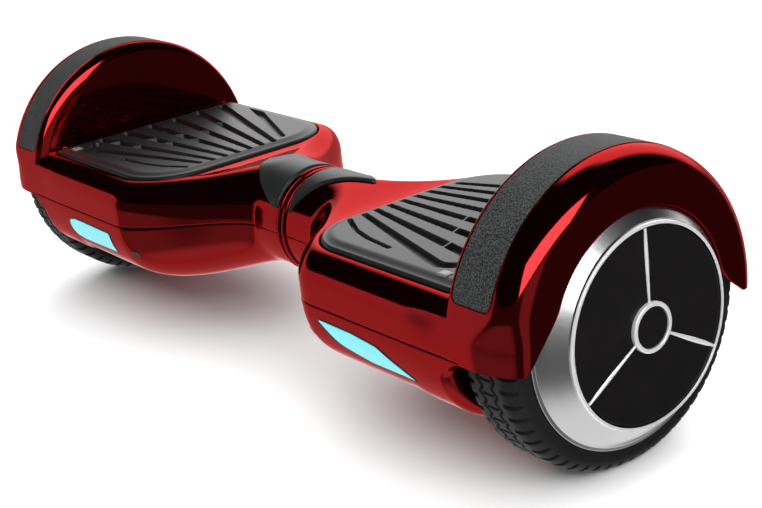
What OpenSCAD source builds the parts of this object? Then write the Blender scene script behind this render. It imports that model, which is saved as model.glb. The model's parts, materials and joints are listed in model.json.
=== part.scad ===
// Self balancing hoverboard: two halves that twist on a centre tube, with a
// hub motor wheel at each end. X runs along the wheel axles, -Y is the front
// with the headlights, +Z is up, and the floor is at Z = 0.

/* [Wheels] */
// Outside diameter of the tyre
tyre_d = 170; // [150:1:180]
// Width of the tyre between its shoulders
tyre_w = 39; // [32:1:42]
// Middle of the tyre, measured from the centre of the board
wheel_x = 255.5; // [250:0.5:300]
// Radius of the aluminium rim where the tyre sidewall meets it
rim_r = 70.6; // [64:0.2:74]
// Radius of the black disc on the outside of the wheel
disc_r = 53.6; // [46:0.2:58]
// Axle shaft diameter in the bearings
axle_d = 12; // [10:1:14]
// Radial running clearance between the shaft and the bearings
bearing_clear = 0.05; // [0.02:0.01:0.08]

/* [Body] */
// Front to back depth of the body at the parting line
body_d = 186; // [176:1:200]
// Radius of the round neck at the centre
neck_r = 34; // [30:0.5:36]
// Height of the deck above the wheel axle
deck_h = 28.5; // [26:0.5:31]
// Depth of the lower shell below the wheel axle
belly_h = 55; // [50:0.5:58]
// Radius of the rounded deck edge
deck_edge_r = 17; // [10:0.5:20]
// Wall of the two shells
wall = 2.6; // [2.2:0.1:3.2]
// Where the neck starts to widen
flare_start = 30; // [26:1:40]
// Where the body reaches its full depth
flare_end = 114; // [100:1:130]
// Gap between the two halves at the centre
half_gap = 2; // [1.2:0.1:3]
// Gap between the upper and the lower shell along the parting line
part_gap = 0.3; // [0.2:0.1:0.6]

/* [Fender] */
// Gap between the tyre and the inside of the fender's crown
fender_gap = 4.8; // [3:0.2:8]
// Inner face of the fender wall beside the foot mat, in from the middle of the tyre
fender_in = 24.5; // [23.5:0.5:26.5]
// Where the fender crown starts to turn down, out from the middle of the tyre
crown_out = 12.5; // [8.5:0.5:14.5]
// Radius of the rounded outer shoulder of the fender
shoulder_r = 17; // [12:0.5:18]
// Radius of the wheel opening in the fender side
opening_r = 63.5; // [60:0.5:66]
// Width of the grip strip on the crown
grip_w = 30; // [20:0.5:31]
// Thickness of the grip strip
grip_t = 1.2; // [0.8:0.1:1.5]

/* [Foot mat] */
// Inner edge of the mat, towards the centre
mat_x0 = 84; // [80:1:100]
// Gap between the mat's outer edge and the fender wall
mat_end_gap = 4; // [3:0.5:16]
// Front to back width of the mat
mat_d = 154; // [130:1:158]
// Corner radius of the mat's inner corners
mat_corner = 38; // [20:1:45]
// How far the mat stands above the deck
mat_proud = 3.6; // [2:0.2:5]
// Pressed travel of the mat
mat_travel = 1.5; // [1:0.1:2]
// Gap all round the mat
mat_gap = 1.2; // [0.8:0.1:2]

/* [Motor] */
// Radius of the stator
stator_r = 50; // [44:1:54]
// Length of the stator
stator_w = 23; // [18:1:24]
// Air gap between the stator and the magnets
air_gap = 0.8; // [0.5:0.1:1.2]

/* [Centre pivot] */
// Outside diameter of the pivot tube
pivot_d = 26; // [22:0.5:28]
// Bore of the pivot tube
pivot_bore = 19; // [14:0.5:20]
// Wall of the two plain bushes on the pivot tube
bush_t = 2; // [1.5:0.1:2.5]
// Radial running clearance of the pivot
pivot_clear = 0.06; // [0.03:0.01:0.09]

/* [Electrics] */
// Battery pack length, along the axles
battery_l = 118; // [100:1:125]
// Battery pack depth, front to back
battery_d = 64; // [50:1:72]
// Battery pack height
battery_h = 32; // [26:1:36]
// Length of the main board
board_l = 110; // [80:1:120]
// Depth of the main board
board_d = 60; // [50:1:76]
// Radius of the charge socket's mouth
socket_r = 6; // [5:0.1:7]
// Depth of the charge socket's mouth
socket_depth = 8; // [6:0.5:12]
// Radius of the power button
button_r = 7; // [5:0.1:9]
// Travel of the power button
button_travel = 1.2; // [0.8:0.1:1.6]

/* [Hidden] */
$fn = 64;
axle_z = tyre_d / 2;
half_d = body_d / 2;
part_z = axle_z;
lower_top_z = part_z - part_gap;
fit = 0.3;            // clearance between pieces that only sit together
slide_gap = 0.35;     // clearance round pieces that travel
eps = 0.05;           // small overlap that joins shapes of one piece
past = 1;             // how far a cut runs past the face it opens

RED = [0.62, 0.03, 0.04];
BLACK = [0.04, 0.04, 0.04];
RUBBER = [0.07, 0.07, 0.07];
SILVER = [0.78, 0.78, 0.80];
STEEL = [0.45, 0.46, 0.48];

// neck cover: how far its outside stands off the neck, and its outline as [x, y] seen from above
cover_proud = 1.6;
leaf_x0 = 7;
cover_leaf = [for (p = [[0, 30.5], [15, 31], [29, 24], [43, 11], [51, 0]]) [leaf_x0 + p[0], -p[1]],
    for (p = [[43, 11], [29, 24], [15, 31], [0, 30.5]]) [leaf_x0 + p[0], p[1]]];

// wheel, from the tyre inwards
tyre_x0 = wheel_x - tyre_w / 2;
tyre_x1 = wheel_x + tyre_w / 2;
tyre_corner = 9;
bead_chamfer = 1.5;
seat_gap = 0.15;                       // tyre on its rim
rim_seat_r = rim_r + 0.6;
rim_x0 = tyre_x0 + 5;                  // inner end of the motor can
rim_x1 = tyre_x1 + 1.5;                // outer edge of the rim, proud of the tyre
disc_face_x = rim_x1 + 13.5;           // outer face of the black disc
disc_t = 2.4;
disc_seat_x = disc_face_x - disc_t - fit;
dish_x = rim_x1 + 5.5;                 // half way down the dished rim
dish_r = 64;
magnet_r = stator_r + air_gap;
magnet_t = 4;
can_bore_r = magnet_r + magnet_t + seat_gap;
cover_t = 4;
cover_r = rim_seat_r - 5;
cover_screw_r = 2;
cover_screw_l = cover_t + 9;
cover_screw_pcd_r = (cover_r + can_bore_r) / 2;
cover_screws_n = 6;
bearing_r = 16;
bearing_w = 8;
bearing_boss_r = bearing_r + 6;
bearing_end_gap = 0.05;
hub_face_t = 3;
inner_bearing_x = rim_x0 - cover_t + 1;
outer_bearing_x = disc_seat_x - 17;
stator_x = (inner_bearing_x + bearing_w + outer_bearing_x) / 2 - stator_w / 2;
slots_n = 12;
yoke_r = stator_r - 16;
tooth_w = 8;
shoe_t = 4;
shoe_w = 21;
coil_gap = 0.1;
coil_t = 1.6;                          // coil past the core's end faces
coil_wrap = 2.6;                       // coil beside its tooth
coil_h = stator_r - shoe_t - yoke_r - 2;
axle_r = axle_d / 2;
axle_hole_r = axle_r + 4;              // hole for the axle in both shells' end walls
axle_x0 = wheel_x - fender_in - 39;
axle_x1 = outer_bearing_x + bearing_w + 2;
inlay_t = 0.8;
inlay_gap = 0.1;
inlay_proud = 0.25;
spoke_half = [0.9, 1.5, 1.1];          // half widths of a spoke at its root, middle and tip
spoke_wide_r = disc_r - 16;
spoke_turn = [90, 210, 330];
cap_ring_r = 14;
cap_r = 11.2;
cap_ring_h = 2.6;
cap_h = 1.8;

// fender
fender_wall = 2.6;
crown_extra = 0.6;                     // extra thickness of the crown under the strip
crown_in_r = axle_z + fender_gap;
crown_r = crown_in_r + crown_extra + fender_wall;
fender_x = wheel_x - fender_in;
crown_end_x = wheel_x + crown_out;
roll_r = 6;                            // rounded edge between the inner wall and the crown
crown_x0 = fender_x + roll_r;
strip_bed_gap = 0.1;                   // under the grip strip
side_return = 3;                       // how far the side face's inside runs past the shoulder
wall_end_r = crown_r - 8;              // where the inner wall turns into the crown, inside
grip_x0 = (crown_x0 + crown_end_x - grip_w) / 2;
grip_side_gap = 0.25;
strip_bed_r = crown_r - grip_t - strip_bed_gap;
grip_front = 20;                       // grip strip ends, in degrees above the axle
fender_dip = 4;                        // fender ends, in degrees below the axle
side_face_x = crown_end_x + shoulder_r;
lip_t = 1.6;

// deck and mat
deck_z = axle_z + deck_h;
mat_t = 6.5;
mat_step = 1.5;                        // height and width of the step round the mat's top edge
mat_step_in = 2;
mat_x1 = fender_x - mat_end_gap;
mat_z1 = deck_z + mat_proud;
mat_z0 = mat_z1 - mat_t;
pocket_z = mat_z0 - mat_travel - slide_gap;
deck_floor = 2.6;
wall_clear = 0.6;                      // the pocket stays this far from the fender's inner wall
plunger_r = 6;
plunger_x = (mat_x0 + mat_x1) / 2;
plunger_y = 36;
plunger_z0 = pocket_z - deck_floor - 5;

// chassis, pivot and axle clamp
plate_z1 = axle_z - 7;
plate_t = 5;
plate_z0 = plate_z1 - plate_t;
plate_x0 = 84;
plate_x1 = fender_x - 5;
plate_d = 72;
socket_x0 = 6;
socket_x1 = 58;
pivot_r = pivot_d / 2;
press_gap = 0.04;
bush_r = pivot_r + pivot_clear + bush_t;
pivot_socket_r = bush_r + 4.5;
bush_w = 12;
pivot_x0 = -60;
clip_x = socket_x1 + 0.4;
clip_t = 1.2;
clip_gap = 0.1;                        // circlip in its groove
clip_groove = 1;
clip_rim = 2.5;                        // how far the circlip stands off the tube
pivot_x1 = clip_x + clip_t + 1.6;
pin_r = 2.5;
pin_sunk = 0.3;                        // pins stay this far inside the tube's bore and the socket
arm_x0 = 42;
arm_t = 5;
arm_h = 11;
arm_lap = 12;                          // how far an arm lies on the plate
arm_y = bush_r + 4;
flange_from = 30;
flange_t = 3;
flange_h = 8;
flange_y = (plate_d - flange_t) / 2;
pin_x = 40;
clamp_x0 = fender_x - 35;
clamp_x1 = fender_x - 7;
clamp_w = 40;
clamp_h = 12;
clamp_bolt_r = 2.5;
clamp_bolt_y = 14;
clamp_bolt_dx = 8;
clamp_bolts_x = [for (sx = [-1, 1]) (clamp_x0 + clamp_x1) / 2 + sx * clamp_bolt_dx];
clamp_head_r = 4.2;
clamp_head_h = 4;
clamp_grip = 6;                        // how far a clamp bolt runs into the seat
clamp_split = 0.6;

// electrics
battery_x0 = 95;
strap_w = 24;
strap_t = 1.5;
led_board_x = 136;
led_board_y = 7.1;                     // front face of the board, back from the body's front
led_board_h = 12;
leds_n = 4;
led_pitch = 11;
led_w = 5;
led_t = 1;
gyro_l = 34;
gyro_d = 100;
gyro_screw_x = gyro_l / 2 - 4;
gyro_screw_y = 18;
board_screw_r = 1.4;
board_hole_r = 1.6;
board_head_r = 2.6;
board_head_h = 1.8;
board_post_r = 3.5;
board_screw_l = 6;
pcb_t = 1.6;
switch_l = 10;
switch_d = 12;
switch_h = 4;
gyro_z1 = plunger_z0 - mat_travel - slide_gap - switch_h;
main_board_x0 = 92;
board_drop = 7;
board_z1 = plate_z0 - board_drop;
board_corners = [for (x = [6, board_l - 6], sy = [-1, 1]) [main_board_x0 + x, sy * (board_d / 2 - 5)]];
sink_h = 10;
sink_d = 12;
sink_y = -22;
capacitor_r = 8;
capacitor_h = 14;
capacitor_y = 12;
capacitor_pitch = 22;
harness_r = 3.5;
harness_x = 72;
plug_l = 8;
plug_d = 12;
plug_h = 10;
socket_x = 132;
button_x = 176;
port_z = axle_z - 17;
port_body_l = 17;
socket_body_r = socket_r + 3;
contact_r = 0.9;                       // holes for the charge plug's pins
port_sunk = 0.8;                       // port faces lie this far inside the body's rear
button_proud = 0.8;
button_l = 10;
switch_body_r = button_r + 3;

// screws that hold the shells together, as [x, y]
screw_places = [for (p = [[104, 64], [158, 80], [fender_x - 17, 80]]) for (s = [-1, 1]) [p[0], s * p[1]]];
screw_r = 1.5;
screw_head_r = 3.2;
screw_seat_z = axle_z - 19;
screw_head_h = 2.5;
screw_grip = 11;                       // how far a screw runs into the upper shell
boss_r = 5;
rib_t = 3;
rib_d = 52;
rib_places = [plate_x0 + 4, plate_x1 - 4 - rib_t];

arc_n = 8;                             // facets of a rounded deck edge
belly_n = 18;                          // facets of the belly
trim_inset = 0.4;                      // how far inside the skin the trimmed pieces stay

// body stations: sections across the X axis, closer together along the flare
flare_n = 12;
start_x = half_gap / 2;
stations = concat(
    [start_x, flare_start * 0.55],
    [for (i = [0 : flare_n]) flare_start + (flare_end + 10 - flare_start) * i / flare_n],
    [(flare_end + 10 + fender_x) / 2, fender_x]);

// rounded bead round the end of the neck, as a profile of [x, radius]
bead_w = 3.4;
bead_h = 1.4;
bead_c = 0.8;
bead = [[start_x, neck_r - 1], [start_x, neck_r + bead_h - bead_c], [start_x + bead_c, neck_r + bead_h],
    [start_x + bead_w - bead_c, neck_r + bead_h], [start_x + bead_w, neck_r + bead_h - bead_c],
    [start_x + bead_w, neck_r - 1]];

// headlight outlines, as [x, z] seen from the front; the two are not mirror images
lens_reach = 16;                       // how far back from the front the opening is cut
lens_sunk = 0.1;                       // lens below the shell's outside
lens_stations = [105, 124, 165, 210];
lens_right = [[120.5, 76.5], [166, 75.5], [173, 74], [203, 60], [163, 59.5], [146, 61.5], [133, 67],
    [125, 72.5]];
lens_left = concat([[129, 75.5], [129, 60.5], [176, 60]],
    [for (t = [-75 : 15 : 75]) [183 + 8 * cos(t), 68.3 + 8.3 * sin(t)]]);

fender_profile = concat(
    [[fender_x, 0], [fender_x, crown_r - roll_r]],
    [for (t = [15 : 15 : 75]) [crown_x0 - roll_r * cos(t), crown_r - roll_r + roll_r * sin(t)]],
    [[crown_x0, crown_r], [grip_x0, crown_r], [grip_x0, strip_bed_r]],
    [[grip_x0 + grip_w, strip_bed_r], [grip_x0 + grip_w, crown_r], [crown_end_x, crown_r]],
    [for (t = [10 : 10 : 90])
        [crown_end_x + shoulder_r * sin(t), crown_r - shoulder_r + shoulder_r * cos(t)]],
    [[side_face_x, opening_r], [side_face_x - lip_t, opening_r]],
    [[side_face_x - lip_t, crown_r - shoulder_r - side_return]],
    [for (t = [90 : -10 : 0]) [crown_end_x + (shoulder_r - fender_wall) * sin(t),
        crown_r - shoulder_r + (shoulder_r - fender_wall) * cos(t)]],
    [[crown_end_x - 2, crown_in_r], [crown_x0, crown_in_r]],
    [[fender_x + fender_wall, wall_end_r], [fender_x + fender_wall, 0]]);

cover_stations = concat([leaf_x0 - 1, leaf_x0 + 9], [for (i = [0 : 4]) flare_start + 7.5 * i]);

function smooth(t) = t * t * (3 - 2 * t);
function ramp(x, a, b) = x <= a ? 0 : x >= b ? 1 : smooth((x - a) / (b - a));
function blend(x, a, b, u, v) = u + (v - u) * ramp(x, a, b);
function sec_half(x) = blend(x, flare_start, flare_end, neck_r, half_d);
function sec_top(x) = blend(x, flare_start, mat_x0 - 6, neck_r, deck_h);
function sec_edge(x) = blend(x, flare_start, flare_end, neck_r, deck_edge_r);
function sec_belly(x) = blend(x, flare_start - 6, flare_end + 8, neck_r, belly_h);
function sec_pow(x) = 2 / blend(x, flare_start, flare_end, 2, 2.4);

// upper section from the front parting line over the deck to the back one:
// a rounded rectangle with its lower half left off
function upper_outline(x, inset, z0) =
    let (a = sec_half(x) - inset, h = sec_top(x) - inset,
         r = max(min(sec_edge(x) - inset, a, h), 1))
    concat(
        [[x, -a, z0]],
        [for (i = [0 : arc_n]) let (t = 90 * i / arc_n)
            [x, -a + r * (1 - cos(t)), axle_z + h - r + r * sin(t)]],
        [for (i = [0 : arc_n]) let (t = 90 * i / arc_n)
            [x, a - r * (1 - sin(t)), axle_z + h - r + r * cos(t)]],
        [[x, a, z0]]);

// lower section from the back parting line under the belly to the front one:
// the lower half of a superellipse
function lower_outline(x, inset, z0) =
    let (a = sec_half(x) - inset, b = sec_belly(x) - inset, e = sec_pow(x))
    concat(
        [[x, a, z0]],
        [for (i = [1 : belly_n - 1]) let (t = 180 * i / belly_n)
            [x, a * sign(cos(t)) * pow(abs(cos(t)), e), z0 - (b - axle_z + z0) * pow(sin(t), e)]],
        [[x, -a, z0]]);

// closed shell between an outer and an inner run of section rings
module ring_loft(rings) {
    n = len(rings[0]);
    m = len(rings);
    points = [for (ring = rings) for (p = ring) p];
    faces = concat(
        [for (j = [0 : m - 2]) for (i = [0 : n - 1])
            let (k = (i + 1) % n) [j * n + i, j * n + k, (j + 1) * n + k]],
        [for (j = [0 : m - 2]) for (i = [0 : n - 1])
            let (k = (i + 1) % n) [j * n + i, (j + 1) * n + k, (j + 1) * n + i]],
        [for (i = [0 : n / 2 - 2]) [i, n - 1 - i, n - 2 - i]],
        [for (i = [0 : n / 2 - 2]) [i, n - 2 - i, i + 1]],
        [for (i = [0 : n / 2 - 2]) let (o = (m - 1) * n) [o + i, o + n - 2 - i, o + n - 1 - i]],
        [for (i = [0 : n / 2 - 2]) let (o = (m - 1) * n) [o + i, o + i + 1, o + n - 2 - i]]);
    polyhedron(points, faces);
}

function reversed(list) = [for (i = [len(list) - 1 : -1 : 0]) list[i]];

// a solid of revolution about the wheel axle from a profile of [x, radius]
module about_axle(profile, from = 0, sweep = 360) {
    translate([0, 0, axle_z])
        rotate([90, 0, 90])
            rotate([0, 0, from])
                rotate_extrude(angle = sweep, $fn = 128)
                    polygon([for (p = profile) [p[1], p[0]]]);
}

// a cylinder along X between two X positions, about the axle
module axle_rod(x0, x1, r) {
    translate([x0, 0, axle_z])
        rotate([0, 90, 0])
            cylinder(h = x1 - x0, r = r);
}

module tube_x(x0, x1, r_out, r_in) {
    difference() {
        axle_rod(x0, x1, r_out);
        axle_rod(x0 - past, x1 + past, r_in);
    }
}

// builds a right-hand piece, or its mirror on the left
module side(s) {
    if (s > 0) children();
    else mirror([1, 0, 0]) children();
}

// ---- shells ----

function shell_ring(outer, inner) = concat(outer, reversed(inner));

// an outline's points moved straight up or down to one height
function flat_at(outline, z) = [for (p = outline) [p[0], p[1], z]];

// all that is inside the upper skin, and inside the lower skin, to trim what is fixed to them
module upper_solid() {
    ring_loft([for (x = stations)
        let (o = upper_outline(x, trim_inset, part_z)) shell_ring(o, flat_at(o, part_z - past))]);
}

module lower_solid() {
    ring_loft([for (x = stations)
        let (o = lower_outline(x, trim_inset, lower_top_z)) shell_ring(o, flat_at(o, part_z + past))]);
}

// a plate across the body between two X positions, from a [y, z] outline
module plate_x(x0, x1, outline) {
    translate([x0, 0, 0])
        rotate([90, 0, 90])
            linear_extrude(x1 - x0)
                polygon([for (p = outline) [p[1], p[2]]]);
}

// mat outline grown by g: large round corners towards the centre
function mat_outline(g) =
    let (x0 = mat_x0 - g, x1 = mat_x1 + g, h = mat_d / 2 + g, r = mat_corner + g, q = 4 + g)
    concat(
        [for (t = [180 : 10 : 270]) [x0 + r + r * cos(t), -h + r + r * sin(t)]],
        [for (t = [270 : 30 : 360]) [x1 - q + q * cos(t), -h + q + q * sin(t)]],
        [for (t = [0 : 30 : 90]) [x1 - q + q * cos(t), h - q + q * sin(t)]],
        [for (t = [90 : 10 : 180]) [x0 + r + r * cos(t), h - r + r * sin(t)]]);

module fender() {
    difference() {
        about_axle(fender_profile, -fender_dip, 180 + 2 * fender_dip);
        // the wall beside the deck stops at the parting line
        translate([fender_x - past, -half_d - past, 0])
            cube([fender_wall + past + fit, body_d + 2 * past, part_z]);
    }
}

module lower_bosses() {
    for (p = screw_places)
        translate([p[0], p[1], axle_z - belly_h])
            cylinder(h = belly_h - part_gap, r = boss_r);
}

module upper_shell(s) {
    color(RED)
    side(s)
    difference() {
        union() {
            ring_loft([for (x = stations)
                shell_ring(upper_outline(x, 0, part_z), upper_outline(x, wall, part_z))]);
            fender();
            about_axle(bead, 0, 180);
            intersection() {
                upper_solid();
                union() {
                    // pocket that holds the mat
                    translate([0, 0, pocket_z - deck_floor])
                        linear_extrude(deck_z - past - pocket_z + deck_floor)
                            polygon(mat_outline(mat_gap + deck_floor));
                    for (p = screw_places)
                        translate([p[0], p[1], part_z])
                            cylinder(h = deck_h - past, r = boss_r);
                }
            }
        }
        translate([0, 0, pocket_z])
            linear_extrude(deck_h)
                intersection() {
                    polygon(mat_outline(mat_gap));
                    translate([0, -half_d])
                        square([fender_x - wall_clear, body_d]);
                }
        for (sy = [-1, 1])
            translate([plunger_x, sy * plunger_y, pocket_z - deck_floor - past])
                cylinder(h = deck_floor + 2 * past, r = plunger_r + slide_gap);
        for (p = screw_places)
            translate([p[0], p[1], part_z - past])
                cylinder(h = screw_grip + 3, r = screw_r + eps);
        axle_rod(fender_x - past, fender_x + fender_wall + past, axle_hole_r);
    }
}

module lens_cutter(s, g) {
    translate([0, lens_reach - half_d, 0])
        rotate([90, 0, 0])
            linear_extrude(lens_reach + 4 * past)
                offset(delta = g)
                    polygon(s > 0 ? lens_right : lens_left);
}

module rear_hole(x, r) {
    translate([x, half_d - port_body_l - past, port_z])
        rotate([-90, 0, 0])
            cylinder(h = port_body_l + 10 * past, r = r);
}

module lower_shell(s) {
    color(RED)
    side(s)
    difference() {
        union() {
            ring_loft([for (x = stations)
                shell_ring(lower_outline(x, 0, lower_top_z), lower_outline(x, wall, lower_top_z))]);
            intersection() {
                lower_solid();
                union() {
                    lower_bosses();
                    // ribs that the chassis plate sits on
                    for (x = rib_places)
                        translate([x, -rib_d / 2, axle_z - belly_h])
                            cube([rib_t, rib_d, plate_z0 - axle_z + belly_h]);
                }
            }
            // end wall beside the wheel
            plate_x(fender_x - eps, fender_x + fender_wall, lower_outline(fender_x, 0, lower_top_z));
        }
        lens_cutter(s, fit);
        for (p = screw_places) {
            translate([p[0], p[1], 0])
                cylinder(h = screw_seat_z, r = screw_head_r + fit);
            translate([p[0], p[1], 0])
                cylinder(h = part_z + past, r = screw_r + fit);
        }
        if (s > 0) {
            rear_hole(socket_x, socket_body_r + fit);
            rear_hole(button_x, switch_body_r + fit);
        }
        axle_rod(fender_x - past, fender_x + fender_wall + past, axle_hole_r);
    }
}

module shell_screws(s) {
    color(STEEL)
    side(s)
    for (p = screw_places)
        translate([p[0], p[1], 0]) {
            translate([0, 0, screw_seat_z - screw_head_h])
                cylinder(h = screw_head_h, r = screw_head_r);
            translate([0, 0, screw_seat_z - past])
                cylinder(h = part_z + screw_grip + past - screw_seat_z, r = screw_r);
        }
}

module grip_strip(s) {
    color(BLACK)
    side(s)
    about_axle([[grip_x0 + grip_side_gap, crown_r - grip_t], [grip_x0 + grip_side_gap, crown_r],
        [grip_x0 + grip_w - grip_side_gap, crown_r], [grip_x0 + grip_w - grip_side_gap, crown_r - grip_t]],
        grip_front, 180 - 2 * grip_front);
}

// arched black cover on top of the neck, with a leaf-shaped outline
module neck_cover(s) {
    color(BLACK)
    side(s)
    intersection() {
        ring_loft([for (x = cover_stations)
            shell_ring(upper_outline(x, -cover_proud, part_z), upper_outline(x, -fit, part_z))]);
        translate([0, 0, axle_z])
            linear_extrude(2 * neck_r)
                polygon(cover_leaf);
    }
}

module headlight_lens(s) {
    color([0.35, 0.8, 0.85])
    side(s)
    intersection() {
        ring_loft([for (x = lens_stations)
            shell_ring(lower_outline(x, lens_sunk, lower_top_z), lower_outline(x, wall, lower_top_z))]);
        lens_cutter(s, 0);
    }
}

module headlight_board(s) {
    color("green")
    side(s)
    translate([led_board_x, led_board_y - half_d, axle_z - 21]) {
        cube([leds_n * led_pitch + 2, pcb_t, led_board_h]);
        for (i = [0 : leds_n - 1])
            translate([(led_pitch - led_w) / 2 + 1 + led_pitch * i, -led_t, (led_board_h - led_w) / 2])
                cube([led_w, led_t + eps, led_w]);
    }
}

// ---- foot mat and its switches ----

module foot_mat(s) {
    color(RUBBER)
    side(s)
    union() {
        translate([0, 0, mat_z0])
            linear_extrude(mat_t - mat_step)
                polygon(mat_outline(0));
        translate([0, 0, mat_z1 - mat_step - eps])
            linear_extrude(mat_step + eps)
                polygon(mat_outline(-mat_step_in));
        // moulded feet that press the switches
        for (sy = [-1, 1])
            translate([plunger_x, sy * plunger_y, plunger_z0])
                cylinder(h = mat_z0 - plunger_z0 + eps, r = plunger_r);
    }
}

module gyro_board(s) {
    color("green")
    side(s)
    translate([plunger_x, 0, gyro_z1]) {
        difference() {
            translate([-gyro_l / 2, -gyro_d / 2, -pcb_t])
                cube([gyro_l, gyro_d, pcb_t]);
            for (sx = [-1, 1], sy = [-1, 1])
                translate([sx * gyro_screw_x, sy * gyro_screw_y, -pcb_t - past])
                    cylinder(h = pcb_t + 2 * past, r = board_hole_r);
        }
        for (sy = [-1, 1])
            translate([-switch_l / 2, sy * plunger_y - switch_d / 2, -eps])
                cube([switch_l, switch_d, switch_h + eps]);
    }
}

module board_screws(s) {
    color(STEEL)
    side(s) {
        for (sx = [-1, 1], sy = [-1, 1])
            translate([plunger_x + sx * gyro_screw_x, sy * gyro_screw_y, gyro_z1]) {
                cylinder(h = board_head_h, r = board_head_r);
                translate([0, 0, -board_screw_l])
                    cylinder(h = board_screw_l + eps, r = board_screw_r);
            }
        if (s > 0)
            for (p = board_corners)
                translate([p[0], p[1], board_z1 - pcb_t - board_head_h]) {
                    cylinder(h = board_head_h, r = board_head_r);
                    cylinder(h = board_head_h + board_screw_l, r = board_screw_r);
                }
    }
}

// ---- chassis and centre pivot ----

module chassis(s) {
    bore = s > 0 ? bush_r + press_gap : pivot_r + press_gap;
    color(SILVER)
    side(s)
    difference() {
        union() {
            translate([plate_x0, -plate_d / 2, plate_z0])
                cube([plate_x1 - plate_x0, plate_d, plate_t]);
            // side flanges that stiffen the plate
            for (sy = [-1, 1])
                translate([plate_x0 + flange_from, sy * flange_y - flange_t / 2, plate_z1 - eps])
                    cube([plate_x1 - plate_x0 - flange_from, flange_t, flange_h]);
            axle_rod(socket_x0, socket_x1, pivot_socket_r);
            // two arms from the socket to the plate, either side of the harness
            for (sy = [-1, 1])
                translate([arm_x0, sy * arm_y - arm_t / 2, plate_z0])
                    cube([plate_x0 + arm_lap - arm_x0, arm_t, arm_h]);
            // seat for the axle
            translate([clamp_x0, -clamp_w / 2, plate_z1 - eps])
                cube([clamp_x1 - clamp_x0, clamp_w, axle_z - clamp_split / 2 - plate_z1]);
            // posts under the gyro board
            for (sx = [-1, 1], sy = [-1, 1])
                translate([plunger_x + sx * gyro_screw_x, sy * gyro_screw_y, plate_z1 - eps])
                    cylinder(h = gyro_z1 - pcb_t - plate_z1 + eps, r = board_post_r);
            if (s > 0)
                for (p = board_corners)
                    translate([p[0], p[1], board_z1])
                        cylinder(h = board_drop + eps, r = board_post_r);
        }
        axle_rod(socket_x0 - past, socket_x1 + past, bore);
        axle_rod(axle_x0 - 4, clamp_x1 + past, axle_r + press_gap);
        for (x = clamp_bolts_x, sy = [-1, 1])
            translate([x, sy * clamp_bolt_y, plate_z0 - past])
                cylinder(h = axle_z - plate_z0 + 2 * past, r = clamp_bolt_r + press_gap);
        for (sx = [-1, 1], sy = [-1, 1])
            translate([plunger_x + sx * gyro_screw_x, sy * gyro_screw_y, gyro_z1 - pcb_t - board_screw_l])
                cylinder(h = board_screw_l + past, r = board_screw_r + eps);
        if (s > 0)
            for (p = board_corners)
                translate([p[0], p[1], board_z1 - past])
                    cylinder(h = board_screw_l + past, r = board_screw_r + eps);
        if (s < 0)
            translate([pin_x, 0, axle_z - 2 * pivot_r])
                cylinder(h = 4 * pivot_r, r = pin_r + press_gap);
    }
}

module axle_clamp(s) {
    color(SILVER)
    side(s)
    difference() {
        translate([clamp_x0, -clamp_w / 2, axle_z + clamp_split / 2])
            cube([clamp_x1 - clamp_x0, clamp_w, clamp_h]);
        axle_rod(clamp_x0 - past, clamp_x1 + past, axle_r + press_gap);
        for (x = clamp_bolts_x, sy = [-1, 1])
            translate([x, sy * clamp_bolt_y, axle_z - past])
                cylinder(h = clamp_h + 3 * past, r = clamp_bolt_r + press_gap);
    }
}

module clamp_bolts(s) {
    color(STEEL)
    side(s)
    for (x = clamp_bolts_x, sy = [-1, 1])
        translate([x, sy * clamp_bolt_y, axle_z + clamp_split / 2 + clamp_h]) {
            cylinder(h = clamp_head_h, r = clamp_head_r);
            translate([0, 0, -clamp_h - clamp_grip])
                cylinder(h = clamp_h + clamp_grip + eps, r = clamp_bolt_r);
        }
}

module pivot_tube() {
    color(STEEL)
    difference() {
        axle_rod(pivot_x0, pivot_x1, pivot_r);
        axle_rod(pivot_x0 - past, pivot_x1 + past, pivot_bore / 2);
        tube_x(clip_x - clip_gap, clip_x + clip_t + clip_gap, pivot_r + past, pivot_r - clip_groove);
        translate([-pin_x, 0, axle_z - 2 * pivot_r])
            cylinder(h = 4 * pivot_r, r = pin_r + press_gap);
    }
}

module pivot_bushes() {
    color("goldenrod")
    for (x = [socket_x0, socket_x1 - bush_w])
        tube_x(x, x + bush_w, bush_r, pivot_r + pivot_clear);
}

module pivot_circlip() {
    color(STEEL)
    tube_x(clip_x, clip_x + clip_t, pivot_r + clip_rim, pivot_r - clip_groove + eps);
}

// two short roll pins that lock the tube in the left socket, clear of the bore
module pivot_pins() {
    color(STEEL)
    for (z = [pivot_bore / 2 + pin_sunk, pin_sunk - pivot_socket_r])
        translate([-pin_x, 0, axle_z + z])
            cylinder(h = pivot_socket_r - pivot_bore / 2 - 2 * pin_sunk, r = pin_r);
}

// signal cable through the pivot tube, with a plug moulded on each end
module harness() {
    color(BLACK)
    translate([0, 0, harness_r + fit - pivot_bore / 2])
        union() {
            axle_rod(-harness_x, harness_x, harness_r);
            for (s = [-1, 1])
                translate([s * (harness_x + plug_l / 2 - eps), 0, axle_z])
                    cube([plug_l, plug_d, plug_h], center = true);
        }
}

// ---- motor and wheel ----

module axle(s) {
    color(STEEL)
    side(s)
    axle_rod(axle_x0, axle_x1, axle_r);
}

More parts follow.
